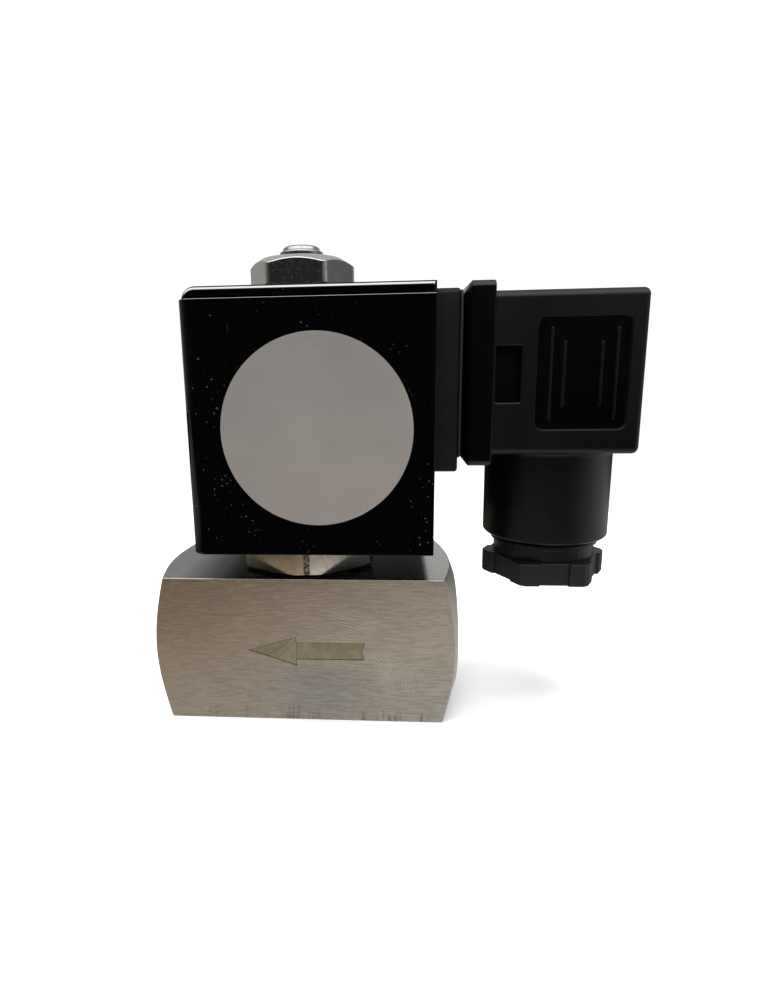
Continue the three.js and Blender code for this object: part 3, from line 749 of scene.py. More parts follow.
def winding():
    """Enamelled copper wire, layer on layer: fine round ridges along Z."""
    m = Material("copper_winding")
    ridges = m.wave("BANDS", "Z", m.coord, Scale=1500, Distortion=0.25)
    layers = m.noise((60, 60, 900), detail=3, rough=0.6)
    tone = m.mix(layers.over(0.3, 0.7), (0.56, 0.20, 0.06), (0.74, 0.33, 0.13))
    return m.shade(Base_Color=tone, Metallic=0.9, Roughness=0.3,
                   Normal=m.bump(ridges, strength=0.8, distance=0.00008))


MAT = {
    "steel": steel_body(),
    "etched": etched("etched_mark"),
    "etched_line": etched("etched_outline", light=0.62),
    "enamel": gloss_black(),
    "label": label_grey(),
    "winding": winding(),
    "rubber": rubber("black_rubber", (0.011, 0.011, 0.012)),
    "seat": rubber("brown_seal", (0.05, 0.028, 0.018)),
    "nickel": bright_metal("bright_nickel", (0.72, 0.71, 0.68), rough=0.11, pits=0.35),
    "stud": bright_metal("bright_stud", (0.47, 0.46, 0.45), rough=0.13, pits=0.8),
    "flange": bright_metal("bright_flange", (0.52, 0.46, 0.38), rough=0.13, pits=0.9,
                           worn_radius=0.01291),
    "resin": moulded("coil_resin", srgb(6, 6, 6), rough=0.55, grain=700, bump=0.5,
                     distance=0.00009, flow_tone=srgb(14, 14, 13), specular=0.26),
    "bobbin": moulded("bobbin_nylon", (0.66, 0.62, 0.52), rough=0.45, grain=500, bump=0.15),
    "plug": moulded("plug_nylon", srgb(3, 4, 6), rough=0.38, grain=1100, bump=0.22,
                    distance=0.00004, flow_tone=srgb(6, 7, 11), specular=0.36),
    "panel": moulded("panel_gloss", srgb(1, 1, 2), rough=0.22, grain=700, bump=0.08,
                     distance=0.00003, flow_tone=srgb(2, 2, 3), specular=0.4),
    "gland": moulded("gland_nylon", srgb(13, 13, 16), rough=0.44, grain=1000, bump=0.28,
                     flow_tone=srgb(20, 20, 23)),
    "insert": moulded("terminal_nylon", (0.0012, 0.0012, 0.0015), rough=0.4, grain=700,
                      bump=0.2, specular=0.14),
}
# key: (material name, tint, roughness, noise scale along x, y, z)
for key, (name, tint, rough, lines) in {
    "tube": ("drawn_tube", (0.62, 0.61, 0.60), 0.22, (3500, 3500, 60)),
    "core": ("ferritic_core", (0.50, 0.50, 0.49), 0.28, (300, 300, 4200)),
    "spring": ("spring_wire", (0.60, 0.60, 0.59), 0.2, (900, 900, 900)),
    "copper": ("bare_copper", (0.78, 0.38, 0.22), 0.28, (300, 300, 3000)),
    "blade": ("tinned_blade", (0.70, 0.69, 0.66), 0.22, (60, 2600, 2600)),
    "brass": ("turned_brass", (0.78, 0.58, 0.27), 0.24, (2600, 600, 600)),
    "zinc": ("zinc_screw", (0.66, 0.67, 0.68), 0.22, (2400, 2400, 2400)),
}.items():
    MAT[key] = turned_metal(name, tint, rough, lines)


# ------------------------------------------------------------------ valve body
PORT_BOTTOM = 14.5  # distance of a port's floor from the coil axis

# (x, z) outline of the flow arrow on the front; its head points to -X
ARROW = [(-9.9, 0.03), (-6.0, -1.15), (-1.15, -2.85), (-1.22, -1.62), (10.65, -1.55),
         (10.2, -0.2), (10.75, 1.6), (-1.25, 1.6), (-1.22, 2.6), (-4.2, 1.75)]
ARROW_DEPTH, ARROW_FLOOR_DEPTH, ARROW_MARGIN = 0.05, 0.10, 0.13
# creases in the arrow's head: start (x, z), end (x, z), half width
CREASES = [((-6.3, -1.0), (-1.9, 2.25), 0.05),
           ((-4.7, -1.45), (-1.4, 1.7), 0.05),
           ((-1.25, -1.75), (-1.2, 1.85), 0.06)]


def body_bar():
    """The bar with its two ports. The end faces are flat out to face_radius and fall back
    in a shallow cone beyond it."""
    half_length, face_radius, cone_slope = 26.9, 10.44, 0.359
    depth, height, seg = BODY_HALF_DEPTH, BODY_HALF_HEIGHT, 30
    outline = [(depth, -height + 2 * height * i / seg) for i in range(seg)]
    outline += [(depth - 2 * depth * i / seg, height) for i in range(seg)]
    outline += [(-depth, height - 2 * height * i / seg) for i in range(seg)]
    outline += [(-depth + 2 * depth * i / seg, -height) for i in range(seg)]
    angles = [math.atan2(z, y) for y, z in outline]
    radii = [math.hypot(y, z) for y, z in outline]

    def end_x(radius):
        return half_length - (radius - face_radius) * cone_slope

    def circle(radius, x, z=0.0):
        return [(x, radius * math.cos(a), z + radius * math.sin(a)) for a in angles]

    def port(sign, passage_radius, passage_z, passage_end):
        """Rows from the passage's end to the outer edge of the end face at sign * X."""
        rows = [circle(passage_radius, passage_end, passage_z),
                circle(passage_radius, sign * PORT_BOTTOM, passage_z),
                circle(7.2, sign * PORT_BOTTOM),
                circle(7.475, sign * (PORT_BOTTOM + 0.3))]
        # female thread
        pitch, inner, outer, steps = 1.337, 7.475, 8.3, 9
        start, stop = PORT_BOTTOM + 1.6, half_length - 0.62
        count = int((stop - start) / pitch * steps)
        for i in range(count + 1):
            x = start + (stop - start) * i / count
            fade = min(1.0, (x - start) / (0.8 * pitch))
            row = []
            for a in angles:
                turned = thread_depth(x / pitch - sign * (a / TAU), 0.1)
                radius = inner + (outer - inner) * turned * fade
                row.append((sign * x, radius * math.cos(a), radius * math.sin(a)))
            rows.append(row)
        # mouth chamfer, then the flat of the end face
        for radius, back in [(8.45, 0.42), (8.75, 0.08), (8.85, 0), (9.3, 0), (9.9, 0),
                             (face_radius - 0.15, 0)]:
            rows.append(circle(radius, sign * (half_length - back)))
        rows.append(circle(face_radius + 0.15, sign * end_x(face_radius + 0.15)))
        # cone, out to the square outline
        for share in (0.2, 0.4, 0.6, 0.8):
            reach = [face_radius + (r - face_radius) * share for r in radii]
            rows.append([(sign * end_x(r), r * math.cos(a), r * math.sin(a))
                         for a, r in zip(angles, reach)])
        rows.append([(sign * end_x(r), y, z) for (y, z), r in zip(outline, radii)])
        return rows

    rows = port(1, passage_radius=2.0, passage_z=3.3, passage_end=5.2)
    steps = 14
    for i in range(1, steps):
        share = 1 - 2 * i / steps
        rows.append([(share * end_x(r), y, z) for (y, z), r in zip(outline, radii)])
    rows += port(-1, passage_radius=2.5, passage_z=-4.0, passage_end=2.0)[::-1]
    ob = rows_mesh(rows)

    # round the end edges and the four long corners a little
    mesh = ob.data
    weight = mesh.attributes.new("bevel_weight_edge", "FLOAT", "EDGE")
    for edge in mesh.edges:
        ends = [mesh.vertices[i].co for i in edge.vertices]
        on_sides = [(abs(abs(v.y) - depth) < 1e-4, abs(abs(v.z) - height) < 1e-4) for v in ends]
        if not all(any(sides) for sides in on_sides):
            continue
        long_corner = all(all(sides) for sides in on_sides)
        end_edge = all(abs(abs(v.x) - end_x(math.hypot(v.y, v.z))) < 1e-3 for v in ends)
        if long_corner or end_edge:
            weight.data[edge.index].value = 1.0
    modifier = ob.modifiers.new("edge", "BEVEL")
    modifier.limit_method = "WEIGHT"
    modifier.width = 0.22
    modifier.segments = 3
    bake(ob)
    return ob


def make_valve_body():
    ob = body_bar()
    front = -BODY_HALF_DEPTH
    # stepped bore for the guide flange, ring channel round the seat, hole through the seat
    stepped_bore = lathe([(8.2, 5.99), (8.2, 11.6), (9.8, 11.6), (9.8, 12.9), (10.1, 13.3),
                          (10.1, 14.5)])
    ring_channel = lathe([(6.9, 1.2), (6.9, 6.2)], n=80)
    cut(ring_channel, ring(1.0, 3.4, 0.0, 5.0, n=64, edge=0.0))
    seat_hole = cylinder(2.25, -4.0, 7.0, n=48)
    for tool in (stepped_bore, ring_channel, seat_hole):
        cut(ob, tool)
    # flow arrow, etched deeper inside its outline and deepest in the creases
    cut(ob, prism("y", ARROW, front - 1, front + ARROW_DEPTH))
    cut(ob, prism("y", offset(ARROW, -ARROW_MARGIN), front - 1, front + ARROW_FLOOR_DEPTH))
    for k, (start, end, half_width) in enumerate(CREASES):
        a, b = Vector(start), Vector(end)
        along = (b - a).normalized()
        across = Vector((-along.y, along.x)) * half_width
        strip = [tuple(p) for p in (a - across, b - across, b + across, a + across)]
        cut(ob, prism("y", strip, front - 1, front + 0.125 + 0.004 * k))
    finish(ob, "valve_body_bar", "steel", "base", "valve_body", 30)

    def in_arrow(centre, normal):
        return normal.y < -0.9 and -10.1 < centre.x < 11.1 and abs(centre.z) < 3.2

    def on_floor(centre):
        return abs(centre.y - front - ARROW_FLOOR_DEPTH) < 0.012

    paint(ob, "etched", lambda c, normal: in_arrow(c, normal) and on_floor(c))
    paint(ob, "etched_line", lambda c, normal: in_arrow(c, normal) and not on_floor(c)
          and c.y - front > 0.03)


# ------------------------------------------------------------------ guide tube, flange, core
def make_o_ring():
    radius, wire, height = 8.98, 0.72, 12.38
    section = [(radius + wire * math.cos(TAU * i / 16), height + wire * math.sin(TAU * i / 16))
               for i in range(16)]
    finish(lathe(section, closed=True), "o_ring", "rubber", "base", "tube_o_ring", 60)


def make_flange():
    ob = hexagon(23.0, turn=34.8, low=13.7, high=19.0, top=(12.3, 0.5), bottom=(12.2, 0.45),
                 side_seg=30, corner=1.3)
    bevel(ob, width=0.14, segments=2, angle=35)
    join(ob, lathe(fillet([(8.0, 6.3), (8.0, 13.2), (11.0, 13.2, 0.15), (11.0, 13.9)]), n=112))
    cut(ob, lathe([(7.05, 9.0), (7.05, 18.4), (7.6, 19.3), (7.6, 21)]), cylinder(6.35, 5, 9.5))
    finish(ob, "flange_hex", "flange", "base", "hex_flange", 28)


def make_tube():
    profile = [(6.35, 9.05), (7.0, 9.05, 0.1), (7.0, 53.0, 0.08), (6.35, 53.0)]
    ob = lathe(fillet(profile, 3, True), n=112, closed=True)
    finish(ob, "guide_tube_drawn", "tube", "base", "guide_tube", 40)


def make_core():
    """Fixed core with its shading ring groove, and the stud that the coil nut runs on."""
    ob = threaded(
        [(5.9, 42.0), (6.12, 42.12), (6.3, 42.4), (6.3, 53.05), (6.9, 53.05), (7.0, 53.15),
         (7.0, 58.25), (6.9, 58.35), (3.25, 58.35)],
        dict(span=(58.5, 66.45), pitch=1.0, root=3.35, crest=3.93, steps=9, fade=0.7),
        fillet([(3.72, 66.55), (3.72, 67.4, 0.3), (3.2, 67.65, 0.12), (3.12, 68.05, 0.2),
                (2.8, 68.3, 0.12), (0.6, 68.3)], 6), n=112)
    cut(ob, ring(4.2, 5.4, 41.0, 43.4, n=80, edge=0.0))
    # short drill centre in the tip
    cut(ob, lathe([(0.05, 67.5), (1.0, 68.42), (1.0, 69)], n=40))
    finish(ob, "core_and_stud", "stud", "base", "fixed_core", 35)
    shading = ring(4.3, 5.3, 42.05, 43.3, n=80, edge=0.12)
    finish(shading, "shading_ring_cu", "copper", "base", "shading_ring", 35)


# ------------------------------------------------------------------ plunger
def make_plunger():
    ob = lathe(fillet([(5.2, 5.75), (6.0, 5.75, 0.3), (6.0, 39.95, 0.35), (5.2, 39.95)]))
    # seat pocket, spring bore, and a flat on each side
    cut(ob, lathe([(3.4, 4.0), (3.4, 8.0)], n=64),
        lathe([(3.0, 30.0), (3.0, 39.5), (3.4, 40.2), (3.4, 45)], n=64),
        box(-8, 8, 5.45, 9, 0, 60), box(-8, 8, -9, -5.45, 0, 60))
    finish(ob, "plunger_bar", "core", "plunger", "plunger", 30)
    profile = [(2.4, 5.04), (3.3, 5.04, 0.2), (3.3, 7.95, 0.1), (2.4, 7.95)]
    seat = lathe(fillet(profile, 3), n=64)
    finish(seat, "seat_disc", "seat", "plunger", "seat_seal", 30)


# ------------------------------------------------------------------ coil frame, cover, label
def make_yoke():
    """Thick C strip, open towards +X, over and under the coil."""
    strip = channel(-16.05, 21.9, 19.15, 60.3, thickness=1.8, outer=2.1)
    ob = rows_mesh([[on_plane("y", p, y) for p in offset(strip, -inset)]
                    for inset, y in rims(-17.3, 17.3, 0.7, 0.7, 8)])
    # below its top plate the strip is trimmed to a rounded plan
    trim = rounded_box("z", (-16.06, 60, -17.31, 17.31), 18, 58.47, 2.3, seg=10)
    join(trim, box(-16.2, 60, -17.4, 17.4, 58.4, 62))
    keep_inside(ob, trim)
    cut(ob, cylinder(4.3, 55, 65, n=80), cylinder(7.4, 15, 25))
    finish(ob, "yoke_sheet", "enamel", "coil", "yoke_frame", 30)


def make_cover():
    """Thin sheet round the front, -X side and back of the coil."""
    outline = channel(-16.7, 21.84, -18.0, 18.0, thickness=0.6, outer=2.4, tip=0.18)
    ob = prism("z", outline, 19.1, 58.45)
    bevel(ob, width=0.14, segments=2, angle=60)
    finish(ob, "cover_sheet", "enamel", "coil", "coil_cover", 30)


def make_label():
    """Ring-shaped label on the front of the cover."""
    back = -18.02
    profile = fillet([(11.0, 0.0), (14.7, 0.0, 0.06), (14.7, 0.25, 0.09), (11.0, 0.25)], 3)
    ob = lathe([(r, back - h) for r, h in profile], "y", (3.9, 38.8), n=160)
    finish(ob, "label_sticker", "label", "coil", "label_disc", 30)


# ------------------------------------------------------------------ moulded coil
BLADE_X = (20.5, 33.6)
BLADE_HALF_WIDTH = 3.15
BLADE_HALF_THICKNESS = 0.4
BOBBIN_LOW, BOBBIN_HIGH = 23.2, 56.6


def make_moulding():
    ob = rounded_box("z", (-14.1, 21.5, -16.8, 16.8), 21.2, 58.25, 1.5, 0.5, 0.5)
    pad = rounded_box("x", (-13.0, 13.0, 31.5, 59.7), 20.9, 25.75, 0.9, 0.0, 0.45, seg=6)
    cut(pad, box(0, 22.15, -20, 20, 58.2, 62))
    # the pad stands off the coil on a slightly smaller neck
    groove = rounded_box("x", (-30, 30, 10, 80), 21.55, 22.15, 0.5, seg=2)
    cut(groove, rounded_box("x", (-12.4, 12.4, 32.1, 58.1), 21.0, 23.0, 0.9, seg=6))
    cut(pad, groove)
    join(ob, pad)
    # winding space, bore, insert hole, blade slots
    tools = [cylinder(13.26, 23.1, 56.7), cylinder(7.35, 10, 70),
             lathe([(2.75, 18.6), (2.75, 25.6), (3.1, 26.5)], "x", SCREW_AXIS, n=48)]
    gap = 0.06
    half = BLADE_HALF_THICKNESS + gap
    for pin in PINS:
        tools.append(pin_box(pin, BLADE_X[0] - gap, BLADE_X[1] + gap, -half, half,
                             BLADE_HALF_WIDTH + gap))
    for tool in tools:
        cut(ob, tool)
    finish(ob, "coil_moulding", "resin", "coil", "coil_encapsulation")


def make_blade(pin):
    x0, x1 = BLADE_X
    width, tip_length, tip_width = BLADE_HALF_WIDTH, 1.6, 2.1
    outline = fillet([
        (x0, -width, 0.1), (x1 - tip_length, -width, 0.3), (x1, -tip_width, 0.4),
        (x1, tip_width, 0.4), (x1 - tip_length, width, 0.3), (x0, width, 0.1)], 4, True)
    half = BLADE_HALF_THICKNESS
    if pin.upright:
        ob = prism("y", [(x, pin.z + y) for x, y in outline], pin.y - half, pin.y + half)
    else:
        ob = prism("z", outline, pin.z - half, pin.z + half)
    bevel(ob, width=0.12, segments=2, angle=60)
    finish(ob, pin.blade + "_tin", "blade", "coil", pin.blade, 30)


def make_screw_insert():
    ob = threaded(
        fillet([(1.9, 25.8), (2.65, 25.8, 0.15), (2.65, 18.7, 0.15), (1.9, 18.7)], 3),
        dict(span=(18.9, 25.6), pitch=0.5, root=1.62, crest=1.85, steps=7, fade=0.7),
        [], "x", SCREW_AXIS, n=64, closed=True)
    finish(ob, "insert_brass", "brass", "coil", "screw_insert", 35)


def make_bobbin():
    low, high = BOBBIN_LOW, BOBBIN_HIGH
    inner, tube, outer, cheek = 7.35, 8.3, 13.2, 1.2
    profile = [(inner, low, 0.1), (outer, low, 0.2), (outer, low + cheek, 0.2),
               (tube, low + cheek, 0.15), (tube, high - cheek, 0.15),
               (outer, high - cheek, 0.2), (outer, high, 0.2), (inner, high, 0.1)]
    ob = lathe(fillet(profile, 3, True), n=112, closed=True)
    finish(ob, "bobbin_nylon", "bobbin", "coil", "bobbin")


def make_winding():
    """The winding's outside shows the rounds of its last layer."""
    turns, inner = 40, 8.36
    low, high = BOBBIN_LOW + 1.26, BOBBIN_HIGH - 1.26
    pitch = (high - low) / turns
    profile = [(inner, high), (inner, low)]
    for i in range(turns):
        for k in range(1, 5):
            a = PI * k / 5
            profile.append((12.72 + 0.18 * math.sin(a),
                            low + pitch * (i + 0.5 - 0.5 * math.cos(a))))
    ob = lathe(profile, closed=True)
    finish(ob, "winding_copper", "winding", "coil", "coil_winding", 60)


# ------------------------------------------------------------------ coil nut and washer
def make_washer():
    ob = ring(4.25, 7.6, 60.35, 61.1)
    finish(ob, "washer_ring", "nickel", "nut_carrier", "nut_washer")


def make_coil_nut():
    ob = hexagon(16.0, turn=0, low=61.15, high=66.2, top=(6.9, 0.62), bottom=(7.9, 0.45),
                 side_seg=32, corner=1.7)
    bevel(ob, width=0.13, segments=3, angle=30)
    cut(ob, threaded(
        [(0.8, 60.0), (4.75, 60.0), (4.75, 61.15), (4.2, 61.75)],
        dict(span=(61.8, 65.6), pitch=1.0, root=4.55, crest=4.12, steps=9, fade=0.5),
        [(4.2, 65.65), (4.75, 66.2), (4.75, 67.5), (0.8, 67.5)], n=112))
    finish(ob, "nut_hex", "nickel", "coil_nut", "coil_nut", 28)


# ------------------------------------------------------------------ plug connector
SIDE_Y = 13.6  # distance of the housing's two side faces from the middle
PANEL_Y = 13.22  # and of the sunk panels' floors
# upright ribs on each panel: x, lower z, upper z
RIBS = [(39.4, 39.6, 53.65), (41.35, 41.7, 51.6), (46.9, 41.7, 51.5), (49.1, 39.6, 53.45)]
RIB_HALF_WIDTH = 0.30


def make_gasket():
    def square(half):
        return (-half, half, PLUG_Z - half, PLUG_Z + half)
    ob = rounded_box("x", square(12.9), 25.8, 26.2, 1.5, 0.12, 0.12, rim_seg=3)
    cut(ob, rounded_box("x", square(10.4), 25, 28, 1.2))
    finish(ob, "gasket_sheet", "rubber", "connector", "flange_gasket", 35)


def gland_boss():
    """Round boss for the gland, with a small fillet where it leaves the box and a foot."""
    boss = lathe(fillet([
        (9.0, 18.65), (10.45, 18.65, 0.15), (10.75, 19.0, 0.15), (10.75, 33.2), (10.95, 33.95, 0.4),
        (11.5, 34.32), (11.5, 36.5)], 5), "z", GLAND_AXIS, n=144)
    keep_inside(boss, box(20, 53.15, -13.4, 13.4, 10, 40))
    return boss


def gland_bore():
    return threaded(
        [(0.8, 17.0), (9.75, 17.0), (9.75, 18.6), (9.45, 18.95)],
        dict(span=(19.0, 28.5), pitch=1.5, root=9.72, crest=9.42, steps=9, fade=0.5),
        [(9.4, 28.6), (9.4, 31.2), (7.4, 31.2), (7.4, 37.0), (0.8, 37.0)],
        "z", GLAND_AXIS, n=128)


def dress_side(ob, side):
    """Sunk panel with its ribs, and the window of the insert's catch, on the side * Y face."""
    # the profiles are (inset, distance from the middle)
    panel = fillet([(0.42, PANEL_Y), (0.0, PANEL_Y, 0.16), (0.0, SIDE_Y, 0.12),
                    (-0.35, 13.62), (-0.35, 15)], 3)
    cut(ob, inset_sweep("y", (37.3, 51.05, 38.15, 55.15), panel, 1.3, seg=7, side=side))
    rib = fillet([(0.05, 13.0), (0.0, 13.2), (0.10, 13.62, 0.1), (0.25, 13.62)], 3)
    for x, low, high in RIBS:
        rect = (x - RIB_HALF_WIDTH, x + RIB_HALF_WIDTH, low, high)
        join(ob, inset_sweep("y", rect, rib, 0.28, seg=5, shrink=0.7, side=side))
    window = [(0.0, 10.9), (0.0, 13.45), (-0.18, 13.62), (-0.18, 15)]
    cut(ob, inset_sweep("y", (31.15, 35.0, 42.4, 51.0), window, 0.25, seg=3, side=side))


def make_housing():
    # flange plate: chamfered towards the coil, small radius on the outer rim
    flange = fillet([(1.75, 26.25), (1.75, 26.3, 0.05), (0.0, 27.3, 0.3), (0.0, 30.9, 0.3),
                     (0.9, 30.9)])
    ob = inset_sweep("x", (-14, 14, PLUG_Z - 14, PLUG_Z + 14), flange, 1.0, shrink=0.3)
    join(ob, rounded_box("x", (-SIDE_Y, SIDE_Y, 34.3, 59.1), 29.5, 53.5, 1.15, 0.0, 1.0,
                         seg=10, rim_seg=10))
    join(ob, gland_boss())
    # hollow inside
    cut(ob, rounded_box("x", (-11.6, 11.6, 36.0, 57.4), 25.5, 51.4, 0.9, 0.0, 0.5,
                        seg=5, rim_seg=3))
    cut(ob, gland_bore())
    # pillar for the central screw, its hole and its counterbore
    pillar = fillet([(3.0, 46.5), (4.9, 46.5, 0.2), (4.9, 52.4), (3.0, 52.4)], 3)
    join(ob, lathe(pillar, "x", SCREW_AXIS, n=64))
    counterbore = fillet([(3.0, 49.6), (3.7, 49.6, 0.2), (3.7, 53.1), (4.1, 53.5), (4.1, 56)], 3)
    cut(ob, cylinder(1.9, 40, 60, "x", SCREW_AXIS, n=48),
        lathe(counterbore, "x", SCREW_AXIS, n=64))
    for side in (-1, 1):
        dress_side(ob, side)
    finish(ob, "plug_housing", "plug", "connector", "connector_housing", 30)

    def glossy(c, normal):
        in_window = 31.1 < c.x < 35.1 and 10.8 < abs(c.y) < 13.4 and 42.3 < c.z < 51.1
        on_flange = c.x < 30.92 and (abs(c.y) > 11.8 or abs(c.z - PLUG_Z) > 11.8)
        on_panel = (abs(normal.y) > 0.8 and abs(abs(c.y) - PANEL_Y) < 0.06
                    and 37.2 < c.x < 51.2 and 38.1 < c.z < 55.2)
        return in_window or on_flange or on_panel

    paint(ob, "panel", glossy)


def contact_blocks(pin, gap, head_x):
    """The two blocks of a contact, grown by gap: one round the blade, and a head that
    reaches further inward and ends at head_x."""
    half_width, half, reach = 3.9 + gap, 1.35 + gap, 3.3 + gap
    head = sorted((pin.inward * reach, -pin.inward * half))
    return (pin_box(pin, 27.6 - gap, 37.6 + gap, -half, half, half_width),
            pin_box(pin, 34.0 - gap, head_x, *head, half_width))


def make_terminal_insert():
    ob = rounded_box("x", (-11.4, 11.4, 36.2, 57.2), 27.0, 39.4, 1.2, 0.35, 0.35,
                     seg=6, rim_seg=3)
    cut(ob, cylinder(1.9, 20, 60, "x", SCREW_AXIS, n=48))
    for pin in PINS:
        for block in contact_blocks(pin, gap=0.06, head_x=40.2):
            cut(ob, block)
        cut(ob, pin_box(pin, 26, 28.5, -0.7, 0.7, 3.6))
    finish(ob, "insert_block", "insert", "connector", "terminal_insert")


def make_contact(pin):
    """A brass contact and its clamp screw."""
    shift = pin.inward * 1.4  # of the screw from the blade
    screw_at = (pin.y + shift, pin.z) if pin.upright else (pin.y, pin.z + shift)
    ob, head = contact_blocks(pin, gap=0.0, head_x=39.3)
    join(ob, head)
    bevel(ob, width=0.12, segments=2, angle=60)
    cut(ob, pin_box(pin, 26, 34.4, -0.55, 0.55, 3.4))
    cut(ob, lathe([(1.55, 35.0), (1.55, 39.1), (1.8, 39.4), (1.8, 45)], "x", screw_at, n=32))
    name = "contact_" + pin.key
    finish(ob, name + "_brass", "brass", "connector", name)

    screw = lathe(fillet([
        (0.9, 35.4), (1.45, 35.7), (1.45, 39.62), (2.3, 39.62, 0.1), (2.3, 41.0, 0.35),
        (1.0, 41.4)]), "x", screw_at, n=48)
    cut(screw, pin_box(pin, 40.7, 42, shift - 0.35, shift + 0.35, 4))
    name = "clamp_screw_" + pin.key
    finish(screw, name + "_steel", "zinc", "connector", name)


def make_plug_seals():
    profile = [(3.1, 25.15, 0.4), (8.6, 25.15, 0.3), (9.25, 25.8, 0.3), (9.25, 29.4, 0.3),
               (7.6, 31.0, 0.3), (3.1, 31.0, 0.4)]
    bush = lathe(fillet(profile, 4, True), "z", GLAND_AXIS, closed=True)
    finish(bush, "bush_rubber", "rubber", "connector", "gland_bush")
    slip = ring(4.6, 9.1, 24.08, 25.08, "z", GLAND_AXIS)
    finish(slip, "slip_ring", "insert", "gland_carrier", "gland_ring")
    seal = ring(1.65, 3.45, 49.65, 50.25, "x", SCREW_AXIS, n=64, edge=0.2)
    finish(seal, "seal_ring", "rubber", "screw_carrier", "screw_seal")


def make_plug_screw():
    """Cheese head with a slot crossed by a recess, thread at its tip."""
    half_slot = 0.42
    ob = threaded(
        [(0.9, 20.4), (1.2, 20.6)],
        dict(span=(20.7, 30.0), pitch=0.5, root=1.24, crest=1.48, steps=7, fade=0.6),
        fillet([(1.3, 30.1), (1.3, 50.28), (2.95, 50.28, 0.08), (2.95, 52.3, 0.3),
                (2.6, 52.62, 0.3), (1.0, 52.65)]), "x", SCREW_AXIS, n=64)
    cut(ob, box(51.5, 54, -4, 4, PLUG_Z - half_slot, PLUG_Z + half_slot))
    cut(ob, rounded_box("x", (-half_slot, half_slot, PLUG_Z - 1.9, PLUG_Z + 1.9),
                        50.9, 54, 0.1, seg=2))
    finish(ob, "plug_screw", "zinc", "connector_screw", "connector_screw")


# ------------------------------------------------------------------ gland nut
def gland_outline():
    """(x, y) about the gland axis: six sides, each with a shallow sunk face in its middle."""
    pad, face = 9.55, 9.05  # distances of the raised and sunk parts from the axis
    # (distance from the axis, place along the side, corner radius)
    side = [(pad, -4.93, 0.3), (pad, -2.52, 0.16), (face, -2.35, 0.12),
            (face, 2.35, 0.12), (pad, 2.52, 0.16), (pad, 4.93, 0.3)]
    corners = []
    for k in range(6):
        a = math.radians(-90 + 60 * k)
        for d, t, radius in side:
            corners.append((d * math.cos(a) - t * math.sin(a),
                            d * math.sin(a) + t * math.cos(a), radius))
    points = fillet(corners, 4, True)
    # long straight runs are split so the round rows stay round
    outline = []
    for i, p in enumerate(points):
        q = points[(i + 1) % len(points)]
        parts = max(1, int(math.hypot(q[0] - p[0], q[1] - p[1]) / 0.55))
        outline += [(p[0] + (q[0] - p[0]) * c / parts, p[1] + (q[1] - p[1]) * c / parts)
                    for c in range(parts)]
    return outline


def make_gland():
    outline = gland_outline()
    angles = [math.atan2(y, x) for x, y in outline]
    radii = [math.hypot(x, y) for x, y in outline]

    def row(row_radii, h):
        return [(GLAND_X + r * math.cos(a), r * math.sin(a), h)
                for a, r in zip(angles, row_radii)]

    def round_rows(profile):
        return [row([radius] * len(angles), h) for radius, h in profile]

    # outside, from the bottom up: (inset, height)
    lobes = fillet([(0.9, 11.05), (0.0, 11.05, 0.28), (0.0, 15.0, 0.14), (0.32, 15.0)])
    rows = [row([r - inset for r in radii], h) for inset, h in lobes]
    rows += round_rows(fillet([
        (8.7, 15.0), (8.7, 17.15, 0.15), (9.24, 17.35, 0.12), (9.24, 18.0, 0.15),
        (8.8, 18.12, 0.1), (8.8, 18.5)]))
    # male thread
    pitch, core, height, steps, low, high, fade_length = 1.5, 8.95, 0.28, 8, 18.6, 23.6, 0.8
    count = int((high - low) / pitch * steps)
    for i in range(count + 1):
        h = low + (high - low) * i / count
        fade = min(1.0, (h - low) / fade_length, (high - h) / fade_length)
        rows.append(row([core + height * fade * thread_depth(h / pitch - a / TAU, 0.15)
                         for a in angles], h))
    # over the top and down the inside
    rows += round_rows(fillet([
        (8.9, 23.7), (8.6, 24.0, 0.1), (5.9, 24.0, 0.2), (5.6, 23.7, 0.2), (5.6, 11.7, 0.2),
        (6.3, 11.05)], 3))
    ob = rows_mesh(rows, closed=True)
    # parting line on the collar
    line = box(-0.05, 0.05, -12, -8.64, 15.25, 17.1)
    line.data.transform(Matrix.Translation((GLAND_X, 0, 0))
                        @ Matrix.Rotation(math.radians(27), 4, "Z"))
    cut(ob, line)
    finish(ob, "gland_lobes", "gland", "gland_nut", "gland_nut", 34)
    paint(ob, "plug", lambda centre, normal: centre.z > 15.05)


# ------------------------------------------------------------------ build
make_valve_body()
make_o_ring()
make_flange()
make_tube()
make_core()
make_plunger()
make_yoke()
make_cover()
make_label()
make_moulding()
for pin in PINS:
    make_blade(pin)
make_screw_insert()
make_bobbin()
make_winding()
make_washer()
make_coil_nut()
make_gasket()
make_housing()
make_terminal_insert()
for pin in PINS:
    make_contact(pin)
make_plug_seals()
make_plug_screw()
make_gland()

# the spring keeps its CAD shape
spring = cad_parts["plunger_spring"]
spring.data.materials.clear()
spring.data.materials.append(MAT["spring"])

# ------------------------------------------------------------------ stage (metres)
BACKDROP_STRENGTH = 1.05


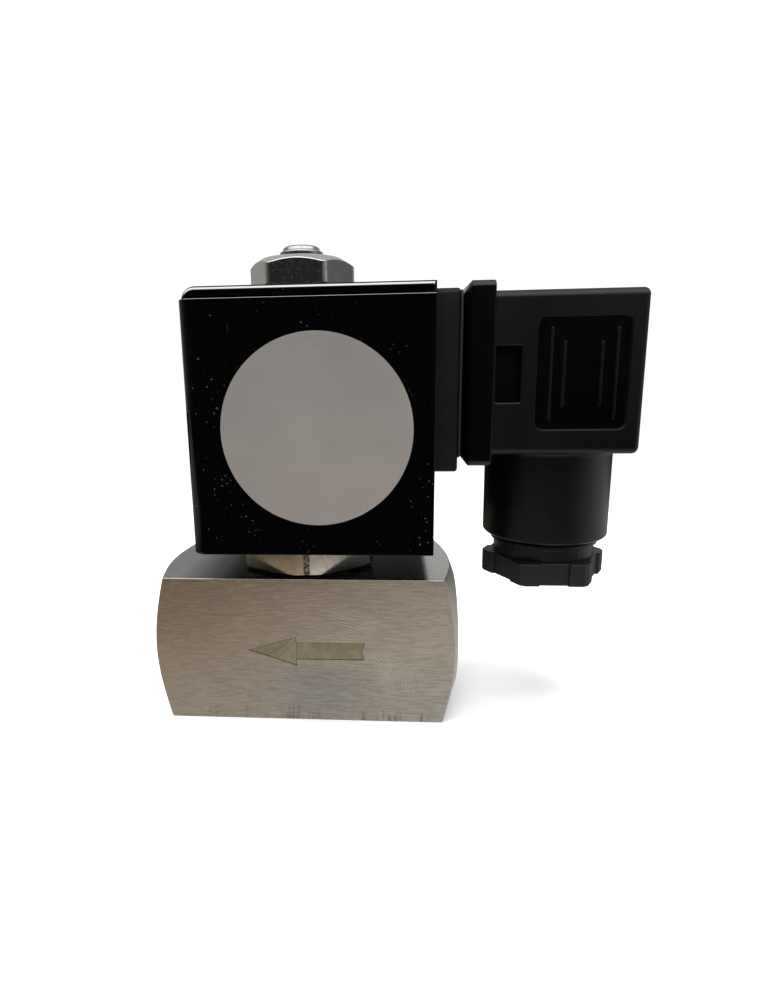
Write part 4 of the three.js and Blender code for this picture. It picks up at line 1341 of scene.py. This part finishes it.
def floor_material():
    """Pale floor that fades into the white backdrop, and looks darker in reflections than it
    does to the eye."""
    m = Material("pale_floor")
    m.shade(Base_Color=(0.88, 0.88, 0.88), Roughness=0.7, Specular_IOR_Level=0.1)
    camera_ray, glossy_ray = m.node("LightPath", {}, "Is Camera Ray", "Is Glossy Ray")
    x, y, _ = m.split(m.geometry("Position"))
    far = m.distance(x, y)
    # what reflections see: warm near the valve, brighter to the right, dark further out,
    # with a pale patch beyond each end
    right = x.over(-0.05, 0.05)
    glow = m.mix(far.over(0.025, 0.075),
                 m.mix(right, (0.62, 0.58, 0.52), (0.80, 0.77, 0.72)),
                 m.mix(right, (0.66, 0.53, 0.42), (0.92, 0.84, 0.74)))
    glow = glow.cover(far.over(0.086, 0.116), (0.022, 0.020, 0.018))
    middle = abs(y).over(0.10, 0.16, to=FADE)
    glow = glow.cover(x.over(0.11, 0.15) * middle, (1.0, 1.0, 1.05))
    glow = glow.cover(x.over(-0.11, -0.15, to=(0, 0.5)) * middle, (0.8, 0.8, 0.8))
    reflected = m.node("Emission", {"Color": glow, "Strength": 0.82})
    white = m.node("Emission", {"Color": (1, 1, 1), "Strength": BACKDROP_STRENGTH})
    seen = m.mix_shader(camera_ray * far.over(0.10, 0.26),
                        Value(m, m.principled.outputs[0]), white)
    m.feed(m.tree.nodes["Material Output"].inputs["Surface"],
           m.mix_shader(glossy_ray, seen, reflected))
    return m.material


def make_floor():
    radius, n = 0.9, 64
    mesh = bpy.data.meshes.new("floor")
    rim = [(radius * math.cos(TAU * i / n), radius * math.sin(TAU * i / n), 0)
           for i in range(n)]
    mesh.from_pydata(rim, [], [tuple(range(n))])
    floor = bpy.data.objects.new("floor", mesh)
    bpy.context.collection.objects.link(floor)
    material = floor_material()
    mesh.materials.append(material)
    if hasattr(material, "cycles"):  # only there when Cycles is enabled
        material.cycles.emission_sampling = "NONE"


def grey(value, warmth=0.0):
    return (value * (1 + warmth), value, value * (1 - warmth))


# what shiny surfaces mirror around them: (degrees about Z, colour). 180 is -Y, behind the
# camera; 90 is -X, 270 is +X and both ends are +Y.
WALLS = [
    (0, grey(0.52)), (45, grey(0.36, 0.02)), (80, grey(0.20, 0.04)), (110, grey(0.07, 0.1)),
    (140, grey(0.02)), (180, grey(0.018)), (215, grey(0.024)), (245, grey(0.20, -0.06)),
    (268, grey(0.42, -0.05)), (284, grey(0.20, -0.06)), (297, grey(0.11, -0.03)),
    (318, grey(0.36)), (360, grey(0.52)),
]
# what lights the matt surfaces, from straight below (0) to straight above (1)
SOFT_LIGHT = [(0.0, (0.22, 0.19, 0.16)), (0.5, (0.17, 0.15, 0.13)),
              (0.62, (0.21, 0.19, 0.175)), (1.0, (0.62, 0.63, 0.66))]


def make_world():
    """Soft light for matt surfaces, a room for mirrors and plain white for the camera."""
    world = bpy.data.worlds.new("studio")
    bpy.context.scene.world = world
    world.use_nodes = True
    if hasattr(world, "cycles"):  # only there when Cycles is enabled
        world.cycles.sampling_method = "NONE"
    world.node_tree.nodes.clear()
    w = Nodes(world.node_tree)

    def background(colour, strength=1.0):
        return w.node("Background", {"Color": colour, "Strength": strength})

    x, y, z = w.split(w.node("TexCoord", {}, "Generated"))
    soft = w.ramp(z.over(-1, 1), SOFT_LIGHT)
    bearing = w.math("ARCTAN2", x, y * -1.0).over(-PI, PI)
    walls = w.ramp(bearing, [(degrees / 360, colour) for degrees, colour in WALLS])
    # the ceiling is bright over the camera and dimmer over the back
    ceiling = w.mix(y.over(-0.12, 0.12), (2.4, 2.4, 2.45), (0.55, 0.55, 0.56))
    mirrored = walls.cover(z.over(0.30, 0.58), ceiling)
    camera_ray, glossy_ray = w.node("LightPath", {}, "Is Camera Ray", "Is Glossy Ray")
    unseen = w.mix_shader(glossy_ray, background(soft), background(mirrored))
    surface = w.mix_shader(
        camera_ray, unseen, background((1.0, 1.0, 1.0), BACKDROP_STRENGTH))
    output = w.tree.nodes.new("ShaderNodeOutputWorld")
    w.feed(output.inputs["Surface"], surface)


def area_light(name, location, target, size, power, colour=(1, 1, 1)):
    """A rectangular lamp aimed at the target and left out of reflections."""
    data = bpy.data.lights.new(name, "AREA")
    data.shape = "RECTANGLE"
    data.size, data.size_y = size
    data.energy = power
    data.color = colour
    lamp = bpy.data.objects.new(name, data)
    lamp.location = location
    lamp.rotation_mode = "QUATERNION"
    aim = Vector(target) - Vector(location)
    lamp.rotation_quaternion = aim.to_track_quat("-Z", "Y")
    lamp.visible_glossy = False
    bpy.context.collection.objects.link(lamp)


def make_camera():
    data = bpy.data.cameras.new("camera")
    camera = bpy.data.objects.new("camera", data)
    bpy.context.collection.objects.link(camera)
    data.sensor_width = 36.0
    data.lens = 21.888036
    data.shift_x = 0.040278
    data.shift_y = -0.003151
    data.clip_start = 0.005
    data.clip_end = 20
    # radians: yaw to the left of +Y, pitch downwards, roll about the view
    yaw, pitch, roll = 0.0747, 0.2074, -0.0162
    level = Vector((-math.sin(yaw), math.cos(yaw), 0))
    right = Vector((math.cos(yaw), math.sin(yaw), 0))
    vertical = Vector((0, 0, 1))
    forward = math.cos(pitch) * level - math.sin(pitch) * vertical
    up = math.cos(pitch) * vertical + math.sin(pitch) * level
    rolled_right = math.cos(roll) * right + math.sin(roll) * up
    rolled_up = -math.sin(roll) * right + math.cos(roll) * up
    pose = Matrix((rolled_right, rolled_up, -forward)).transposed().to_4x4()
    pose.translation = Vector((0.015019, -0.109678, 0.061076))
    camera.matrix_world = pose
    bpy.context.scene.camera = camera


make_floor()
make_world()
area_light("key_top", (-0.05, -0.05, 0.75), (0, 0, 0.03), size=(0.6, 0.6), power=9.0)
area_light("left_window", (-0.60, -0.02, 0.30), (0, 0, 0.05), size=(0.30, 0.5), power=2.6,
           colour=(1.0, 0.98, 0.95))
area_light("right_fill", (0.55, -0.25, 0.35), (0.02, 0, 0.05), size=(0.35, 0.5), power=1.8,
           colour=(0.95, 0.97, 1.0))
area_light("back_fill", (0.1, 0.7, 0.45), (0, 0, 0.04), size=(0.7, 0.7), power=5.0)
make_camera()
bpy.context.scene.view_settings.view_transform = "Standard"
bpy.context.scene.view_settings.look = "None"
